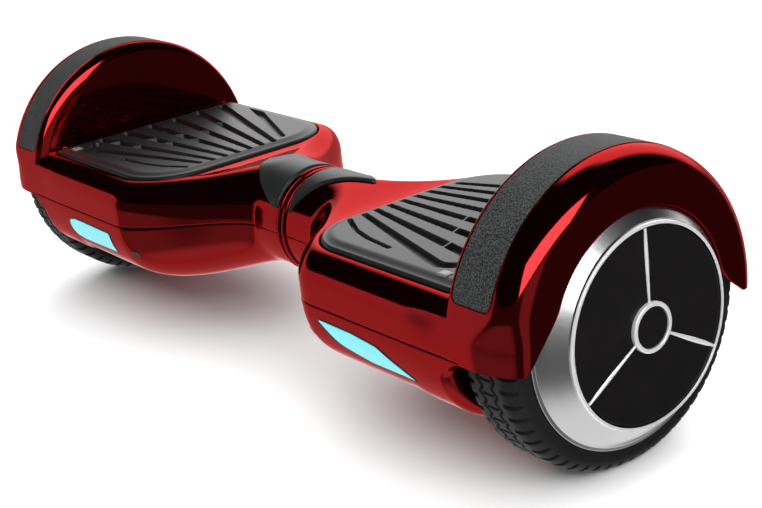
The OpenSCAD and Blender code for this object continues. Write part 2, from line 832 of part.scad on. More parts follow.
module stator_core() {
    translate([stator_x, 0, axle_z])
        rotate([90, 0, 90])
            linear_extrude(stator_w)
                difference() {
                    union() {
                        circle(r = yoke_r);
                        for (i = [0 : slots_n - 1])
                            rotate([0, 0, 360 * i / slots_n]) {
                                translate([0, -tooth_w / 2])
                                    square([stator_r - shoe_t + 1, tooth_w]);
                                intersection() {
                                    difference() {
                                        circle(r = stator_r);
                                        circle(r = stator_r - shoe_t);
                                    }
                                    translate([0, -shoe_w / 2])
                                        square([stator_r + past, shoe_w]);
                                }
                            }
                    }
                    circle(r = axle_r + press_gap);
                }
}

// the wound stator: a toothed core with one coil on each tooth
module coils() {
    for (i = [0 : slots_n - 1])
        translate([stator_x, 0, axle_z])
            rotate([360 * i / slots_n, 0, 0])
                difference() {
                    translate([-coil_t, -tooth_w / 2 - coil_wrap, yoke_r + past])
                        cube([stator_w + 2 * coil_t, tooth_w + 2 * coil_wrap, coil_h]);
                    translate([-coil_gap, -tooth_w / 2 - coil_gap, yoke_r])
                        cube([stator_w + 2 * coil_gap, tooth_w + 2 * coil_gap, coil_h + 2 * past]);
                }
}

module stator(s) {
    color([0.72, 0.38, 0.16])
    side(s) {
        stator_core();
        coils();
    }
}

module magnet_ring(s) {
    color([0.3, 0.3, 0.32])
    side(s)
    tube_x(stator_x, stator_x + stator_w, magnet_r + magnet_t, magnet_r);
}

module rotor(s) {
    boss_x1 = outer_bearing_x + bearing_w + clip_gap;
    web_x = disc_seat_x - 7;
    color(SILVER)
    side(s)
    difference() {
        about_axle([
            [rim_x0, can_bore_r], [rim_x0, rim_seat_r], [rim_x1, rim_seat_r], [rim_x1, rim_r],
            [dish_x, dish_r], [disc_face_x, disc_r + 1], [disc_face_x, disc_r + fit],
            [disc_seat_x, disc_r + fit], [disc_seat_x, 0], [disc_seat_x - hub_face_t, 0],
            [disc_seat_x - hub_face_t, axle_r + 2], [boss_x1, axle_r + 2], [boss_x1, bearing_r + press_gap],
            [outer_bearing_x, bearing_r + press_gap], [outer_bearing_x, bearing_boss_r],
            [web_x, bearing_boss_r], [web_x, can_bore_r - 10], [web_x - 8, can_bore_r]]);
        cover_screw_holes();
    }
}

module cover_screw_holes() {
    for (i = [0 : cover_screws_n - 1])
        translate([0, 0, axle_z])
            rotate([360 * i / cover_screws_n + 30, 0, 0])
                translate([rim_x0 - cover_t - past, 0, cover_screw_pcd_r])
                    rotate([0, 90, 0])
                        cylinder(h = cover_screw_l + 2 * past, r = cover_screw_r + press_gap);
}

module motor_cover(s) {
    cover_x0 = rim_x0 - cover_t;
    color(SILVER)
    side(s)
    difference() {
        about_axle([
            [cover_x0, axle_r + 2], [cover_x0, cover_r], [rim_x0, cover_r], [rim_x0, bearing_boss_r],
            [inner_bearing_x + bearing_w, bearing_boss_r],
            [inner_bearing_x + bearing_w, bearing_r + press_gap],
            [inner_bearing_x, bearing_r + press_gap], [inner_bearing_x, axle_r + 2]]);
        cover_screw_holes();
    }
}

module cover_screws(s) {
    color(STEEL)
    side(s)
    for (i = [0 : cover_screws_n - 1])
        translate([0, 0, axle_z])
            rotate([360 * i / cover_screws_n + 30, 0, 0])
                translate([rim_x0 - cover_t, 0, cover_screw_pcd_r])
                    rotate([0, 90, 0])
                        cylinder(h = cover_screw_l, r = cover_screw_r);
}

module hub_bearings(s) {
    color(STEEL)
    side(s)
    for (x = [inner_bearing_x, outer_bearing_x])
        tube_x(x + bearing_end_gap, x + bearing_w - bearing_end_gap, bearing_r, axle_r + bearing_clear);
}

module tyre(s) {
    in_r = rim_seat_r + seat_gap;
    c = tyre_corner;
    color(BLACK)
    side(s)
    about_axle(concat(
        [[tyre_x0 + bead_chamfer, in_r], [tyre_x0, in_r + bead_chamfer]],
        [for (t = [0 : 15 : 90]) [tyre_x0 + c - c * cos(t), axle_z - c + c * sin(t)]],
        [for (t = [90 : -15 : 0]) [tyre_x1 - c + c * cos(t), axle_z - c + c * sin(t)]],
        [[tyre_x1, in_r + bead_chamfer], [tyre_x1 - bead_chamfer, in_r]]));
}

// one spoke grown by g, widest two thirds of the way out
function spoke(g) = [
    [cap_ring_r - 1 - g, -spoke_half[0] - g], [cap_ring_r - 1 - g, spoke_half[0] + g],
    [spoke_wide_r, spoke_half[1] + g], [disc_r + g, spoke_half[2] + g],
    [disc_r + g, -spoke_half[2] - g], [spoke_wide_r, -spoke_half[1] - g]];

module spokes_2d(g) {
    for (t = spoke_turn)
        rotate([0, 0, t])
            polygon(spoke(g));
}

module wheel_disc(s) {
    color(BLACK)
    side(s)
    difference() {
        axle_rod(disc_face_x - disc_t, disc_face_x, disc_r);
        translate([disc_face_x - inlay_t, 0, axle_z])
            rotate([90, 0, 90])
                linear_extrude(2 * inlay_t)
                    intersection() {
                        spokes_2d(inlay_gap);
                        circle(r = disc_r + past);
                    }
    }
}

// three spokes and the centre ring, one bright trim piece
module wheel_trim(s) {
    color(SILVER)
    side(s)
    union() {
        translate([disc_face_x - inlay_t + inlay_gap / 2, 0, axle_z])
            rotate([90, 0, 90])
                linear_extrude(inlay_t + inlay_proud)
                    intersection() {
                        spokes_2d(0);
                        circle(r = disc_r);
                    }
        tube_x(disc_face_x, disc_face_x + cap_ring_h, cap_ring_r, cap_r + seat_gap);
    }
}

module centre_cap(s) {
    color(BLACK)
    side(s)
    axle_rod(disc_face_x, disc_face_x + cap_h, cap_r);
}

// ---- electrics ----

module battery_pack() {
    color([0.1, 0.25, 0.6])
    translate([-battery_x0 - battery_l, -battery_d / 2, plate_z0 - battery_h])
        cube([battery_l, battery_d, battery_h]);
}

module battery_strap() {
    in_half = battery_d / 2 + fit;
    in_z = plate_z0 - battery_h - fit;
    color(STEEL)
    translate([-battery_x0 - battery_l / 2 - strap_w / 2, 0, 0])
        difference() {
            translate([0, -in_half - strap_t, in_z - strap_t])
                cube([strap_w, 2 * (in_half + strap_t), plate_z0 - in_z + strap_t]);
            translate([-past, -in_half, in_z])
                cube([strap_w + 2 * past, 2 * in_half, plate_z0 - in_z + past]);
        }
}

module main_board() {
    z = board_z1 - pcb_t;
    color("green")
    difference() {
        union() {
            translate([main_board_x0, -board_d / 2, z])
                cube([board_l, board_d, pcb_t]);
            // heat sink and three capacitors
            translate([main_board_x0 + 18, sink_y, z - sink_h])
                cube([board_l - 36, sink_d, sink_h + eps]);
            for (i = [-1 : 1])
                translate([main_board_x0 + board_l / 2 + capacitor_pitch * i, capacitor_y, z - capacitor_h])
                    cylinder(h = capacitor_h + eps, r = capacitor_r);
        }
        for (p = board_corners)
            translate([p[0], p[1], z - past])
                cylinder(h = pcb_t + 2 * past, r = board_hole_r);
    }
}

module charge_socket() {
    color(BLACK)
    translate([socket_x, half_d - port_sunk, port_z])
        rotate([90, 0, 0])
            difference() {
                cylinder(h = port_body_l, r = socket_body_r);
                translate([0, 0, -past])
                    cylinder(h = socket_depth + past, r = socket_r);
                for (t = [90, 210, 330])
                    rotate([0, 0, t])
                        translate([socket_r / 2, 0, 0])
                            cylinder(h = socket_depth + 5, r = contact_r);
            }
}

module power_switch() {
    color(BLACK)
    translate([button_x, half_d - port_sunk - button_proud, port_z])
        rotate([90, 0, 0])
            difference() {
                cylinder(h = port_body_l, r = switch_body_r);
                translate([0, 0, -past])
                    cylinder(h = button_l - button_proud + button_travel + slide_gap + past,
                        r = button_r + slide_gap);
            }
}

module power_button() {
    color(SILVER)
    translate([button_x, half_d - port_sunk + button_proud / 2, port_z])
        rotate([90, 0, 0])
            cylinder(h = button_l, r = button_r);
}

upper_shell(-1);  // left_upper_shell
lower_shell(-1);  // left_lower_shell
shell_screws(-1);  // left_shell_screws
grip_strip(-1);  // left_grip_strip
neck_cover(-1);  // left_neck_cover
headlight_lens(-1);  // left_headlight_lens
headlight_board(-1);  // left_headlight_board
foot_mat(-1);  // left_foot_mat
gyro_board(-1);  // left_gyro_board
board_screws(-1);  // left_board_screws
chassis(-1);  // left_chassis
axle_clamp(-1);  // left_axle_clamp
clamp_bolts(-1);  // left_clamp_bolts
axle(-1);  // left_axle
stator(-1);  // left_stator
magnet_ring(-1);  // left_magnet_ring
rotor(-1);  // left_rotor
motor_cover(-1);  // left_motor_cover
cover_screws(-1);  // left_cover_screws
hub_bearings(-1);  // left_hub_bearings
tyre(-1);  // left_tyre
wheel_disc(-1);  // left_wheel_disc
wheel_trim(-1);  // left_wheel_trim
centre_cap(-1);  // left_centre_cap
upper_shell(1);  // right_upper_shell
lower_shell(1);  // right_lower_shell
shell_screws(1);  // right_shell_screws
grip_strip(1);  // right_grip_strip
neck_cover(1);  // right_neck_cover
headlight_lens(1);  // right_headlight_lens
headlight_board(1);  // right_headlight_board
foot_mat(1);  // right_foot_mat
gyro_board(1);  // right_gyro_board
board_screws(1);  // right_board_screws
chassis(1);  // right_chassis
axle_clamp(1);  // right_axle_clamp
clamp_bolts(1);  // right_clamp_bolts
axle(1);  // right_axle
stator(1);  // right_stator
magnet_ring(1);  // right_magnet_ring
rotor(1);  // right_rotor
motor_cover(1);  // right_motor_cover
cover_screws(1);  // right_cover_screws
hub_bearings(1);  // right_hub_bearings
tyre(1);  // right_tyre
wheel_disc(1);  // right_wheel_disc
wheel_trim(1);  // right_wheel_trim
centre_cap(1);  // right_centre_cap
pivot_tube();
pivot_bushes();
pivot_circlip();
pivot_pins();
harness();
battery_pack();
battery_strap();
main_board();
charge_socket();
power_switch();
power_button();
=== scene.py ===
"""Looks of the self balancing hoverboard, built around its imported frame.

Sizes are in millimetres in the functions below and become metres in piece(). X runs along the
wheel axles, -Y is the front with the headlights, +Z is up. Most pieces are worked out once for
the right half and mirrored in X for the left half.
"""

import json
import math

import bmesh
import bpy
import numpy as np
from mathutils import Matrix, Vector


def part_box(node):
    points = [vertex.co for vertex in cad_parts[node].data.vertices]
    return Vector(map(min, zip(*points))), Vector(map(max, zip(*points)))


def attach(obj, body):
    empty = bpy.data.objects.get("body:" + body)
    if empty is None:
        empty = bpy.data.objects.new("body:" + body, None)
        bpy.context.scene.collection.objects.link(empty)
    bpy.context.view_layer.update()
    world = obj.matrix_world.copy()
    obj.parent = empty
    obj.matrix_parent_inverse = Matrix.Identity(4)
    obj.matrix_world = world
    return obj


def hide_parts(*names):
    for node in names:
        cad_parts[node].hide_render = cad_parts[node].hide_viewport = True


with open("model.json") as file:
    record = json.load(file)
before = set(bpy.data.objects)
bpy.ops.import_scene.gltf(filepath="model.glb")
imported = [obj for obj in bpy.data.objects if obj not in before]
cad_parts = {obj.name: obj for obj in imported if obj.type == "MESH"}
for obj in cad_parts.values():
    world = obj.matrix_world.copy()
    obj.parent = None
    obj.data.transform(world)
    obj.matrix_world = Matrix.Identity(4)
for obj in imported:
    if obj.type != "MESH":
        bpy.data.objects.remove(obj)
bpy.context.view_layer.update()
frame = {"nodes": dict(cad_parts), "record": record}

MM = 0.001
QUARTER = math.pi / 2


def box_mm(node):
    """Lowest and highest corner of a CAD node, in millimetres."""
    low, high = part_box(node)
    return np.array(low) / MM, np.array(high) / MM


# ---------------------------------------------------------------- sizes, from the frame

tyre_low, tyre_high = box_mm("right_tyre")
shell_low, shell_high = box_mm("right_upper_shell")
belly_low = box_mm("right_lower_shell")[0]
mat_low, mat_high = box_mm("right_foot_mat")
strip_low, strip_high = box_mm("right_grip_strip")
disc_high = box_mm("right_wheel_disc")[1]
rotor_low = box_mm("right_rotor")[0]
cap_high = box_mm("right_centre_cap")[1]
trim_high = box_mm("right_wheel_trim")[1]

AXLE_Z = (tyre_low[2] + tyre_high[2]) / 2
TYRE_R = tyre_high[2] - AXLE_Z
TYRE_X = (tyre_low[0], tyre_high[0])
CROWN_R = shell_high[2] - AXLE_Z
HALF_D = shell_high[1]
SIDE_X = shell_high[0]
SEAM_X = shell_low[0]
BELLY_H = AXLE_Z - belly_low[2]
MAT_X = (mat_low[0], mat_high[0])
MAT_HALF_D = mat_high[1]
MAT_TOP = mat_high[2]
STRIP_X = (strip_low[0], strip_high[0])
DISC_FACE_X = disc_high[0]
DISC_R = disc_high[1]
CAP_R = cap_high[1]
RING_X = trim_high[0]

NECK_R = 34.0
MAT_PROUD = 3.6
DECK_H = MAT_TOP - MAT_PROUD - AXLE_Z
DECK_Z = AXLE_Z + DECK_H
DECK_EDGE_R = 17.0
FLARE = (30.0, 114.0)
TOP_FLARE = (30.0, 78.0)
BELLY_FLARE = (24.0, 122.0)
FENDER_X = 231.0
ROLL_W = 6.0
ROLL_H = 18.0
FOOT_R = 2.4
SHOULDER_R = 17.0
CROWN_END_X = SIDE_X - SHOULDER_R
CROWN_SKIN_R = CROWN_R - 0.5
BELLY_END_X = 233.4
WALL = 2.4
MAT_CORNER = 38.0
MAT_OUTER_CORNER = 4.0
MAT_GAP = 1.2
PART_GAP = 0.5
RIM_R = 70.6
RING_R = 14.0
STRIP_END = math.radians(18.8)
STRIP_CORNER = 6.0


# ---------------------------------------------------------------- mesh helpers

def grid_faces(rows, columns, close_rows=False, close_columns=False):
    """Quads over a grid of rows x columns points, joined round where asked."""
    r = np.arange(rows if close_rows else rows - 1)
    c = np.arange(columns if close_columns else columns - 1)
    r, c = np.meshgrid(r, c, indexing="ij")
    r2, c2 = (r + 1) % rows, (c + 1) % columns
    quads = np.stack([r * columns + c, r * columns + c2, r2 * columns + c2, r2 * columns + c], -1)
    return quads.reshape(-1, 4)


def patch(points, close_rows=False, close_columns=False):
    """A grid of points as (vertices, quads)."""
    rows, columns = points.shape[:2]
    return points.reshape(-1, 3), grid_faces(rows, columns, close_rows, close_columns)


def block(top, bottom):
    """Two grids of the same size as one closed block: both grids, its two side edges, its two ends."""
    sides = [np.stack([top[:, i], bottom[:, i]]) for i in (0, -1)]
    ends = [np.stack([top[i], bottom[i]]) for i in (0, -1)]
    return [patch(face) for face in [top, bottom] + sides + ends]


def joined(patches):
    """Several (vertices, faces) pairs as one."""
    vertices, faces, start = [], [], 0
    for v, f in patches:
        vertices.append(v)
        faces.append(np.asarray(f) + start)
        start += len(v)
    return np.concatenate(vertices), np.concatenate(faces)


def piece(name, patches, finish, body, nodes=(), left=False, wall=0.0, up=None, sharp=32):
    """Makes one object: merges doubles, turns the faces outwards, gives it a wall if it is an open
    skin, and puts it on its body. An open skin is turned so that the normal of its vertex furthest
    along `up` points along `up`."""
    vertices, faces = joined(patches)
    vertices = vertices * MM
    if left:
        vertices = vertices * np.array([-1.0, 1.0, 1.0])
    mesh = bpy.data.meshes.new(name)
    mesh.from_pydata(vertices.tolist(), [], faces.tolist())
    shaped = bmesh.new()
    shaped.from_mesh(mesh)
    bmesh.ops.remove_doubles(shaped, verts=shaped.verts, dist=2e-6)
    bmesh.ops.dissolve_degenerate(shaped, dist=1e-6, edges=shaped.edges)
    bmesh.ops.recalc_face_normals(shaped, faces=shaped.faces)
    if up is not None:
        direction = np.array(up) * (np.array([-1, 1, 1]) if left else 1)
        top = max(shaped.faces, key=lambda f: float(np.dot(f.calc_center_median(), direction)))
        if np.dot(top.normal, direction) < 0:
            bmesh.ops.reverse_faces(shaped, faces=shaped.faces)
    shaped.to_mesh(mesh)
    shaped.free()
    thing = bpy.data.objects.new(name, mesh)
    bpy.context.scene.collection.objects.link(thing)
    mesh.shade_smooth()
    mesh.set_sharp_from_angle(angle=math.radians(sharp))
    mesh.materials.append(finish)
    if wall:
        solid = thing.modifiers.new("wall", "SOLIDIFY")
        solid.thickness = wall * MM
        solid.offset = -1
    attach(thing, body)
    if nodes:
        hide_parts(*nodes)
    return thing


def about_axle(x, radius, angle):
    """Points at distance radius from the wheel axle: angle 0 is the front, a quarter turn is up."""
    x, radius, angle = np.broadcast_arrays(x, radius, angle)
    return np.stack([x, -radius * np.cos(angle), AXLE_Z + radius * np.sin(angle)], -1)


def turned(profile, steps=192):
    """A closed solid of revolution about the axle from a loop of [x, radius] points."""
    profile = np.asarray(profile, float)
    angle = np.linspace(0, 2 * math.pi, steps, endpoint=False)
    points = about_axle(profile[None, :, 0], profile[None, :, 1], angle[:, None])
    return patch(points, close_rows=True, close_columns=True)


def rounded(corners, radius, steps=6):
    """A loop or line of [x, y] corners with each one swapped for an arc of that radius, or of its own
    radius where a corner has a third number."""
    corners = [list(c) + [radius] if len(c) == 2 else list(c) for c in corners]
    out = []
    count = len(corners)
    for i in range(count):
        a, b, c = (np.array(corners[(i + k) % count][:2], float) for k in (-1, 0, 1))
        r = corners[i][2]
        u, v = (a - b), (c - b)
        lu, lv = np.linalg.norm(u), np.linalg.norm(v)
        if r <= 0 or lu < 1e-9 or lv < 1e-9:
            out.append(b)
            continue
        u, v = u / lu, v / lv
        half = math.acos(max(-1, min(1, float(u @ v)))) / 2
        cut = min(r / math.tan(half), 0.49 * lu, 0.49 * lv) if half < QUARTER - 1e-3 else 0
        if cut <= 0:
            out.append(b)
            continue
        t = np.linspace(0, 1, steps)[:, None]
        p, q = b + u * cut, b + v * cut
        out.extend((1 - t) ** 2 * p + 2 * t * (1 - t) * b + t ** 2 * q)
    return np.array(out)


def smooth(t):
    """Eases from 0 to 1 as t goes from 0 to 1, level at both ends."""
    t = np.clip(t, 0, 1)
    return t * t * (3 - 2 * t)


def blend(x, span, a, b):
    """a before the span, b after it, and a smooth change between."""
    return a + (b - a) * smooth((x - span[0]) / (span[1] - span[0]))


# ---------------------------------------------------------------- body sections

def half_depth(x):
    """How far the body reaches to the front and to the rear of the axle line at x."""
    return blend(x, FLARE, NECK_R, HALF_D)


def top_height(x):
    """Height of the upper skin over the axle line at x, on the middle of the deck."""
    return blend(x, TOP_FLARE, NECK_R, DECK_H)


def belly_depth(x):
    """How far the lower skin hangs below the parting line at x, a little more beside the wheel."""
    return blend(x, BELLY_FLARE, NECK_R, BELLY_H) + 2.0 * smooth((x - 190) / 14)


def held_to_crown(x, y, h):
    """Draws the section in towards the crown's circle near the fender, so that the two meet."""
    r = np.hypot(y, h)
    past = np.where(r > CROWN_SKIN_R, 1 - CROWN_SKIN_R / np.maximum(r, 1), 0)
    k = smooth((x - 200) / 31) * past
    return y * (1 - k), h * (1 - k)


def upper_point(x, q, raise_by=0.0):
    """Point on the upper skin at x. q is 0 at the front parting line, 1 on the middle of the deck
    and 2 at the rear parting line. The section is a rounded rectangle, measured along its edge."""
    x, q = np.broadcast_arrays(np.asarray(x, float), np.asarray(q, float))
    a, h = half_depth(x) + raise_by, top_height(x) + raise_by
    r = np.minimum(np.minimum(blend(x, FLARE, NECK_R, DECK_EDGE_R) + raise_by, a), h)
    side = np.where(q > 1, 1.0, -1.0)
    quarter = np.where(q > 1, 2 - q, q)
    upright, arc, flat = h - r, r * QUARTER, a - r
    run = quarter * (upright + arc + flat)
    turn = np.clip((run - upright) / np.maximum(arc, 1e-6), 0, 1) * QUARTER
    over = np.clip(run - upright - arc, 0, None)
    y = -(a - r * (1 - np.cos(turn)) - over)
    z = np.minimum(run, upright) + r * np.sin(turn)
    y, z = held_to_crown(x, y, z)
    return np.stack([x, -side * y, AXLE_Z + z], -1)


def quarter_of(x, y):
    """The q of the point of the deck or its rounded edge at x and front to back place y (<= 0)."""
    a, h = half_depth(x), top_height(x)
    r = np.minimum(np.minimum(blend(x, FLARE, NECK_R, DECK_EDGE_R), a), h)
    upright, arc, flat = h - r, r * QUARTER, a - r
    depth = np.abs(y)
    lean = np.arcsin(np.clip((depth - flat) / r, 0, 1))
    run = np.where(depth <= flat, upright + arc + (flat - depth), upright + r * (QUARTER - lean))
    return run / (upright + arc + flat)


def lower_point(x, t, inset=0.0):
    """Point on the lower skin at x: t goes from 0 at the front parting line under the belly to 1 at
    the rear one, round the lower half of a superellipse."""
    x, t = np.broadcast_arrays(np.asarray(x, float), np.asarray(t, float))
    a, b = half_depth(x) - inset, belly_depth(x) - inset
    power = 2 / blend(x, FLARE, 2.0, 2.4)
    angle = t * math.pi
    c, s = np.cos(angle), np.sin(angle)
    y = -a * np.sign(c) * np.abs(c) ** power
    z = -b * np.abs(s) ** power
    y, z = held_to_crown(x, y, z)
    return np.stack([x, y, AXLE_Z - PART_GAP + z], -1)


# ---------------------------------------------------------------- foot mat outline

def mat_loop(grow, arc_steps=18, side_steps=40):
    """The mat's outline grown by a distance, from the middle of its inner edge to the front, along
    the front to the fender, and round the back: large arcs inboard, small ones by the fender."""
    x0, x1 = MAT_X[0] - grow, MAT_X[1] + grow
    h, r, q = MAT_HALF_D + grow, MAT_CORNER + grow, MAT_OUTER_CORNER + grow
    t = np.linspace(0, QUARTER, arc_steps)
    inner = np.stack([x0 + r - r * np.cos(t), -(h - r) - r * np.sin(t)], -1)
    outer_t = np.linspace(0, QUARTER, 7)
    outer = np.stack([x1 - q + q * np.sin(outer_t), -(h - q) - q * np.cos(outer_t)], -1)
    along = np.linspace(0, 1, side_steps + 2)[1:-1, None]
    front = inner[-1] * (1 - along) + outer[0] * along
    half_inner = np.stack([np.full(12, x0), -np.linspace(0, 1, 13)[:-1] * (h - r)], -1)
    half_outer = np.stack([np.full(14, x1), -(h - q) * (1 - np.linspace(0, 1, 15)[1:])], -1)
    half = np.concatenate([half_inner, inner, front, outer, half_outer])
    back = half[::-1][1:-1] * np.array([1, -1])
    return np.concatenate([half, back])


# ---------------------------------------------------------------- upper shell

def upper_skin():
    """The red upper skin. The front strip runs between the parting line and a line that follows the
    neck and then the mat's pocket; it is mirrored for the back, and a patch closes the neck."""
    lip = 0.8
    grow = MAT_GAP + lip
    x0, x1 = MAT_X[0] - grow, MAT_X[1] + grow
    h, r, q = MAT_HALF_D + grow, MAT_CORNER + grow, MAT_OUTER_CORNER + grow
    neck_x = np.concatenate([np.linspace(SEAM_X, 24, 8), np.linspace(28, x0, 46)])
    straight = h - r
    neck_y = -straight * half_depth(neck_x) / half_depth(x0)
    turn = np.linspace(0, QUARTER, 18)[1:]
    arc_x, arc_y = x0 + r - r * np.cos(turn), -straight - r * np.sin(turn)
    side_x = np.linspace(arc_x[-1], x1 - q, 42)[1:]
    end_turn = np.linspace(0, QUARTER, 7)[1:]
    end_x, end_y = x1 - q + q * np.sin(end_turn), -(h - q) - q * np.cos(end_turn)
    inner_x = np.concatenate([neck_x, arc_x, side_x, end_x])
    inner_y = np.concatenate([neck_y, arc_y, np.full(len(side_x), -h), end_y])
    outer_x = np.concatenate([
        neck_x,
        x0 + r * turn / QUARTER,
        side_x,
        x1 - q + (q + 1) * end_turn / QUARTER])
    across = smooth(np.linspace(0, 1, 46))[None, :] * 0.35 + np.linspace(0, 1, 46)[None, :] * 0.65
    x = outer_x[:, None] * (1 - across) + inner_x[:, None] * across
    q_in = quarter_of(inner_x, inner_y)
    quarter = q_in[:, None] * across
    front = upper_point(x, quarter)
    # columns that run on to the fender's inner face and its rolled edge
    last_x, last_q = x[-1], quarter[-1]
    radius = np.hypot(front[-1, :, 1], front[-1, :, 2] - AXLE_Z)
    rise = np.clip(radius - (CROWN_SKIN_R - ROLL_H), 0, ROLL_H) / ROLL_H
    meet = FENDER_X + ROLL_W * (1 - np.sqrt(1 - rise ** 2))
    meet = meet + 8 * (radius > CROWN_R - 1.2) * (quarter[-1] < 0.35)
    t = np.linspace(0, 1, 10)[:, None]
    run_x = last_x[None] * (1 - t) + (meet[None] + 0.4) * t
    flat_q = quarter_of(run_x[:, -1], np.full(10, inner_y[-1]))
    run_q = last_q[None] * (1 - t) + (across[0] * flat_q[-1])[None] * t
    end = upper_point(run_x, run_q)
    sink = 1 - 0.008 * smooth((t - 0.6) / 0.4) * (radius > CROWN_R - 1.2)
    end[..., 1] *= sink
    end[..., 2] = AXLE_Z + (end[..., 2] - AXLE_Z) * sink
    front = np.concatenate([front, end[1:]])
    mirror = np.array([1, -1, 1])
    # neck patch between the two strips
    neck_q = quarter_of(neck_x, neck_y)
    span = np.linspace(0, 1, 24)[None, :]
    middle = upper_point(np.broadcast_to(neck_x[:, None], (len(neck_x), 24)),
                         neck_q[:, None] + (2 - 2 * neck_q[:, None]) * span)
    # land between the pocket and the fender
    land_y = np.linspace(inner_y[-1], -inner_y[-1], 40)
    fillet = np.linspace(-QUARTER, 0, 8)[:, None]
    land_x = FENDER_X + 0.4 - FOOT_R * (1 - np.cos(fillet))
    land_z = DECK_Z + FOOT_R * (1 + np.sin(fillet))
    land = np.stack(np.broadcast_arrays(land_x, land_y[None], land_z), -1)
    # pocket rim: a small round edge, then the pocket's wall
    steps = np.linspace(0, QUARTER, 5)
    loops = []
    for s in steps:
        ring = mat_loop(grow - lip * math.sin(s))
        z = upper_point(ring[:, 0], quarter_of(ring[:, 0], ring[:, 1]))[:, 2]
        loops.append(np.column_stack([ring, z - lip * (1 - math.cos(s))]))
    wall = mat_loop(MAT_GAP)
    loops.append(np.column_stack([wall, np.full(len(wall), MAT_TOP - 8.0)]))
    rim = np.array(loops)
    return [patch(front), patch(front * mirror), patch(middle), patch(land),
            patch(rim, close_columns=True)]


def opening_radius(angle):
    """Radius of the wheel opening against the angle above the front horizontal, in degrees: a true
    circle over the top that flares out towards both lower ends."""
    base = 63.5
    front = 13.5 * np.clip((25 - angle) / 22, 0, None) ** 1.7
    back = 28.0 * np.clip((20 - (180 - angle)) / 25, 0, None) ** 2.83
    return base + front + back


def fender_skin():
    """The fender as a closed solid: a profile that goes up the inner wall, over the rolled edge, the
    crown and the round shoulder, down the side face to the wheel opening, and back inside."""
    crown = CROWN_SKIN_R
    columns = 200
    # outer profile rows as functions of the angle
    u = np.linspace(0, 1, columns)
    level = np.radians(-1.0)
    tail = np.radians(-5.0)
    angle_mid = level + (math.pi - 2 * level) * u
    opening = opening_radius(np.degrees(angle_mid))
    rows_x, rows_r, rows_a = [], [], []
    wall_bottom = np.minimum(crown - ROLL_H - 0.5, (DECK_H - 2) / np.maximum(np.sin(angle_mid), 0.02))
    for k in np.linspace(0, 1, 12)[:-1]:
        rows_x.append(np.full(columns, FENDER_X))
        rows_r.append(wall_bottom + (crown - ROLL_H - wall_bottom) * k)
        rows_a.append(angle_mid)
    for k in np.linspace(0, QUARTER, 12):
        rows_x.append(np.full(columns, FENDER_X + ROLL_W * (1 - math.cos(k))))
        rows_r.append(np.full(columns, crown - ROLL_H * (1 - math.sin(k))))
        rows_a.append(angle_mid)
    corner = SHOULDER_R + 15.0 * smooth((19 - np.degrees(angle_mid)) / 12)
    for k in np.linspace(0, 1, 12)[1:]:
        rows_x.append(FENDER_X + ROLL_W + (SIDE_X - corner - FENDER_X - ROLL_W) * k)
        rows_r.append(np.full(columns, crown))
        rows_a.append(angle_mid)
    centre_r = crown - SHOULDER_R
    arc = SHOULDER_R * QUARTER
    below = np.clip((opening - centre_r) / SHOULDER_R, 0, 1)
    run_end = np.where(opening <= centre_r, arc + centre_r - opening, SHOULDER_R * np.arccos(below))
    for k in np.linspace(0, 1, 44)[1:]:
        run = run_end * k
        turn = np.clip(run / SHOULDER_R, 0, QUARTER)
        x = SIDE_X - corner + corner * np.sin(turn)
        rows_x.append(x)
        rows_r.append(centre_r + SHOULDER_R * np.cos(turn) - np.clip(run - arc, 0, None))
        reach = smooth((x - CROWN_END_X + 4) / 10) * (tail - level)
        rows_a.append(level + (math.pi - 2 * level - reach) * u)
    x, radius, angle = (np.array(rows) for rows in (rows_x, rows_r, rows_a))
    along_x, along_r = np.gradient(x, axis=0), np.gradient(radius, axis=0)
    length = np.maximum(np.hypot(along_x, along_r), 1e-9)
    tangent_x, tangent_r = along_x / length, along_r / length
    normal_x, normal_r = -tangent_r, tangent_x
    edge = [about_axle(x, radius, angle)]
    for k in np.linspace(0, math.pi, 7)[1:-1]:
        shift_n = -WALL / 2 * (1 - math.cos(k))
        shift_t = WALL / 2 * math.sin(k)
        edge.append(about_axle(
            x[-1] + normal_x[-1] * shift_n + tangent_x[-1] * shift_t,
            radius[-1] + normal_r[-1] * shift_n + tangent_r[-1] * shift_t, angle[-1])[None])
    inner = about_axle(x - normal_x * WALL, radius - normal_r * WALL, angle)[::-1]
    loop = np.concatenate(edge + [inner])
    outer_rows = len(x)
    ring = patch(loop, close_rows=True)
    caps = []
    middle = len(edge) - 1
    for end in (0, -1):
        outer_line = loop[:outer_rows, end]
        inner_line = loop[outer_rows + middle:, end][::-1]
        caps.append(patch(np.stack([outer_line, inner_line])))
        lip = loop[outer_rows - 1:outer_rows + middle + 1, end]
        fan = np.stack([lip, np.repeat((lip[:1] + lip[-1:]) / 2, len(lip), 0)])
        caps.append(patch(fan))
    return [ring] + caps


def collar(upper):
    """Raised round bead at the end of the neck, over the upper or the lower half turn."""
    profile = rounded([[SEAM_X, NECK_R - 2.0], [SEAM_X, NECK_R + 1.3], [SEAM_X + 3.6, NECK_R + 1.3],
                       [SEAM_X + 3.6, NECK_R - 2.0]], 1.2)
    start = 0.0 if upper else math.pi
    lift = 0.0 if upper else -PART_GAP / 2
    angle = np.linspace(start, start + math.pi, 97)
    points = about_axle(profile[None, :, 0], profile[None, :, 1], angle[:, None])
    points[..., 2] += lift
    fold = len(profile) // 2
    ends = [np.stack([points[i, :fold], points[i, fold:][::-1]]) for i in (0, -1)]
    return [patch(points, close_columns=True)] + [patch(e) for e in ends]


# ---------------------------------------------------------------- lower shell

FITTING_LIP = 1.0
FITTING_SLOPE = 3.0
FITTING_PROUD = 3.0
WELL_EDGE = 3.0
WELL_SLOPE = 1.8


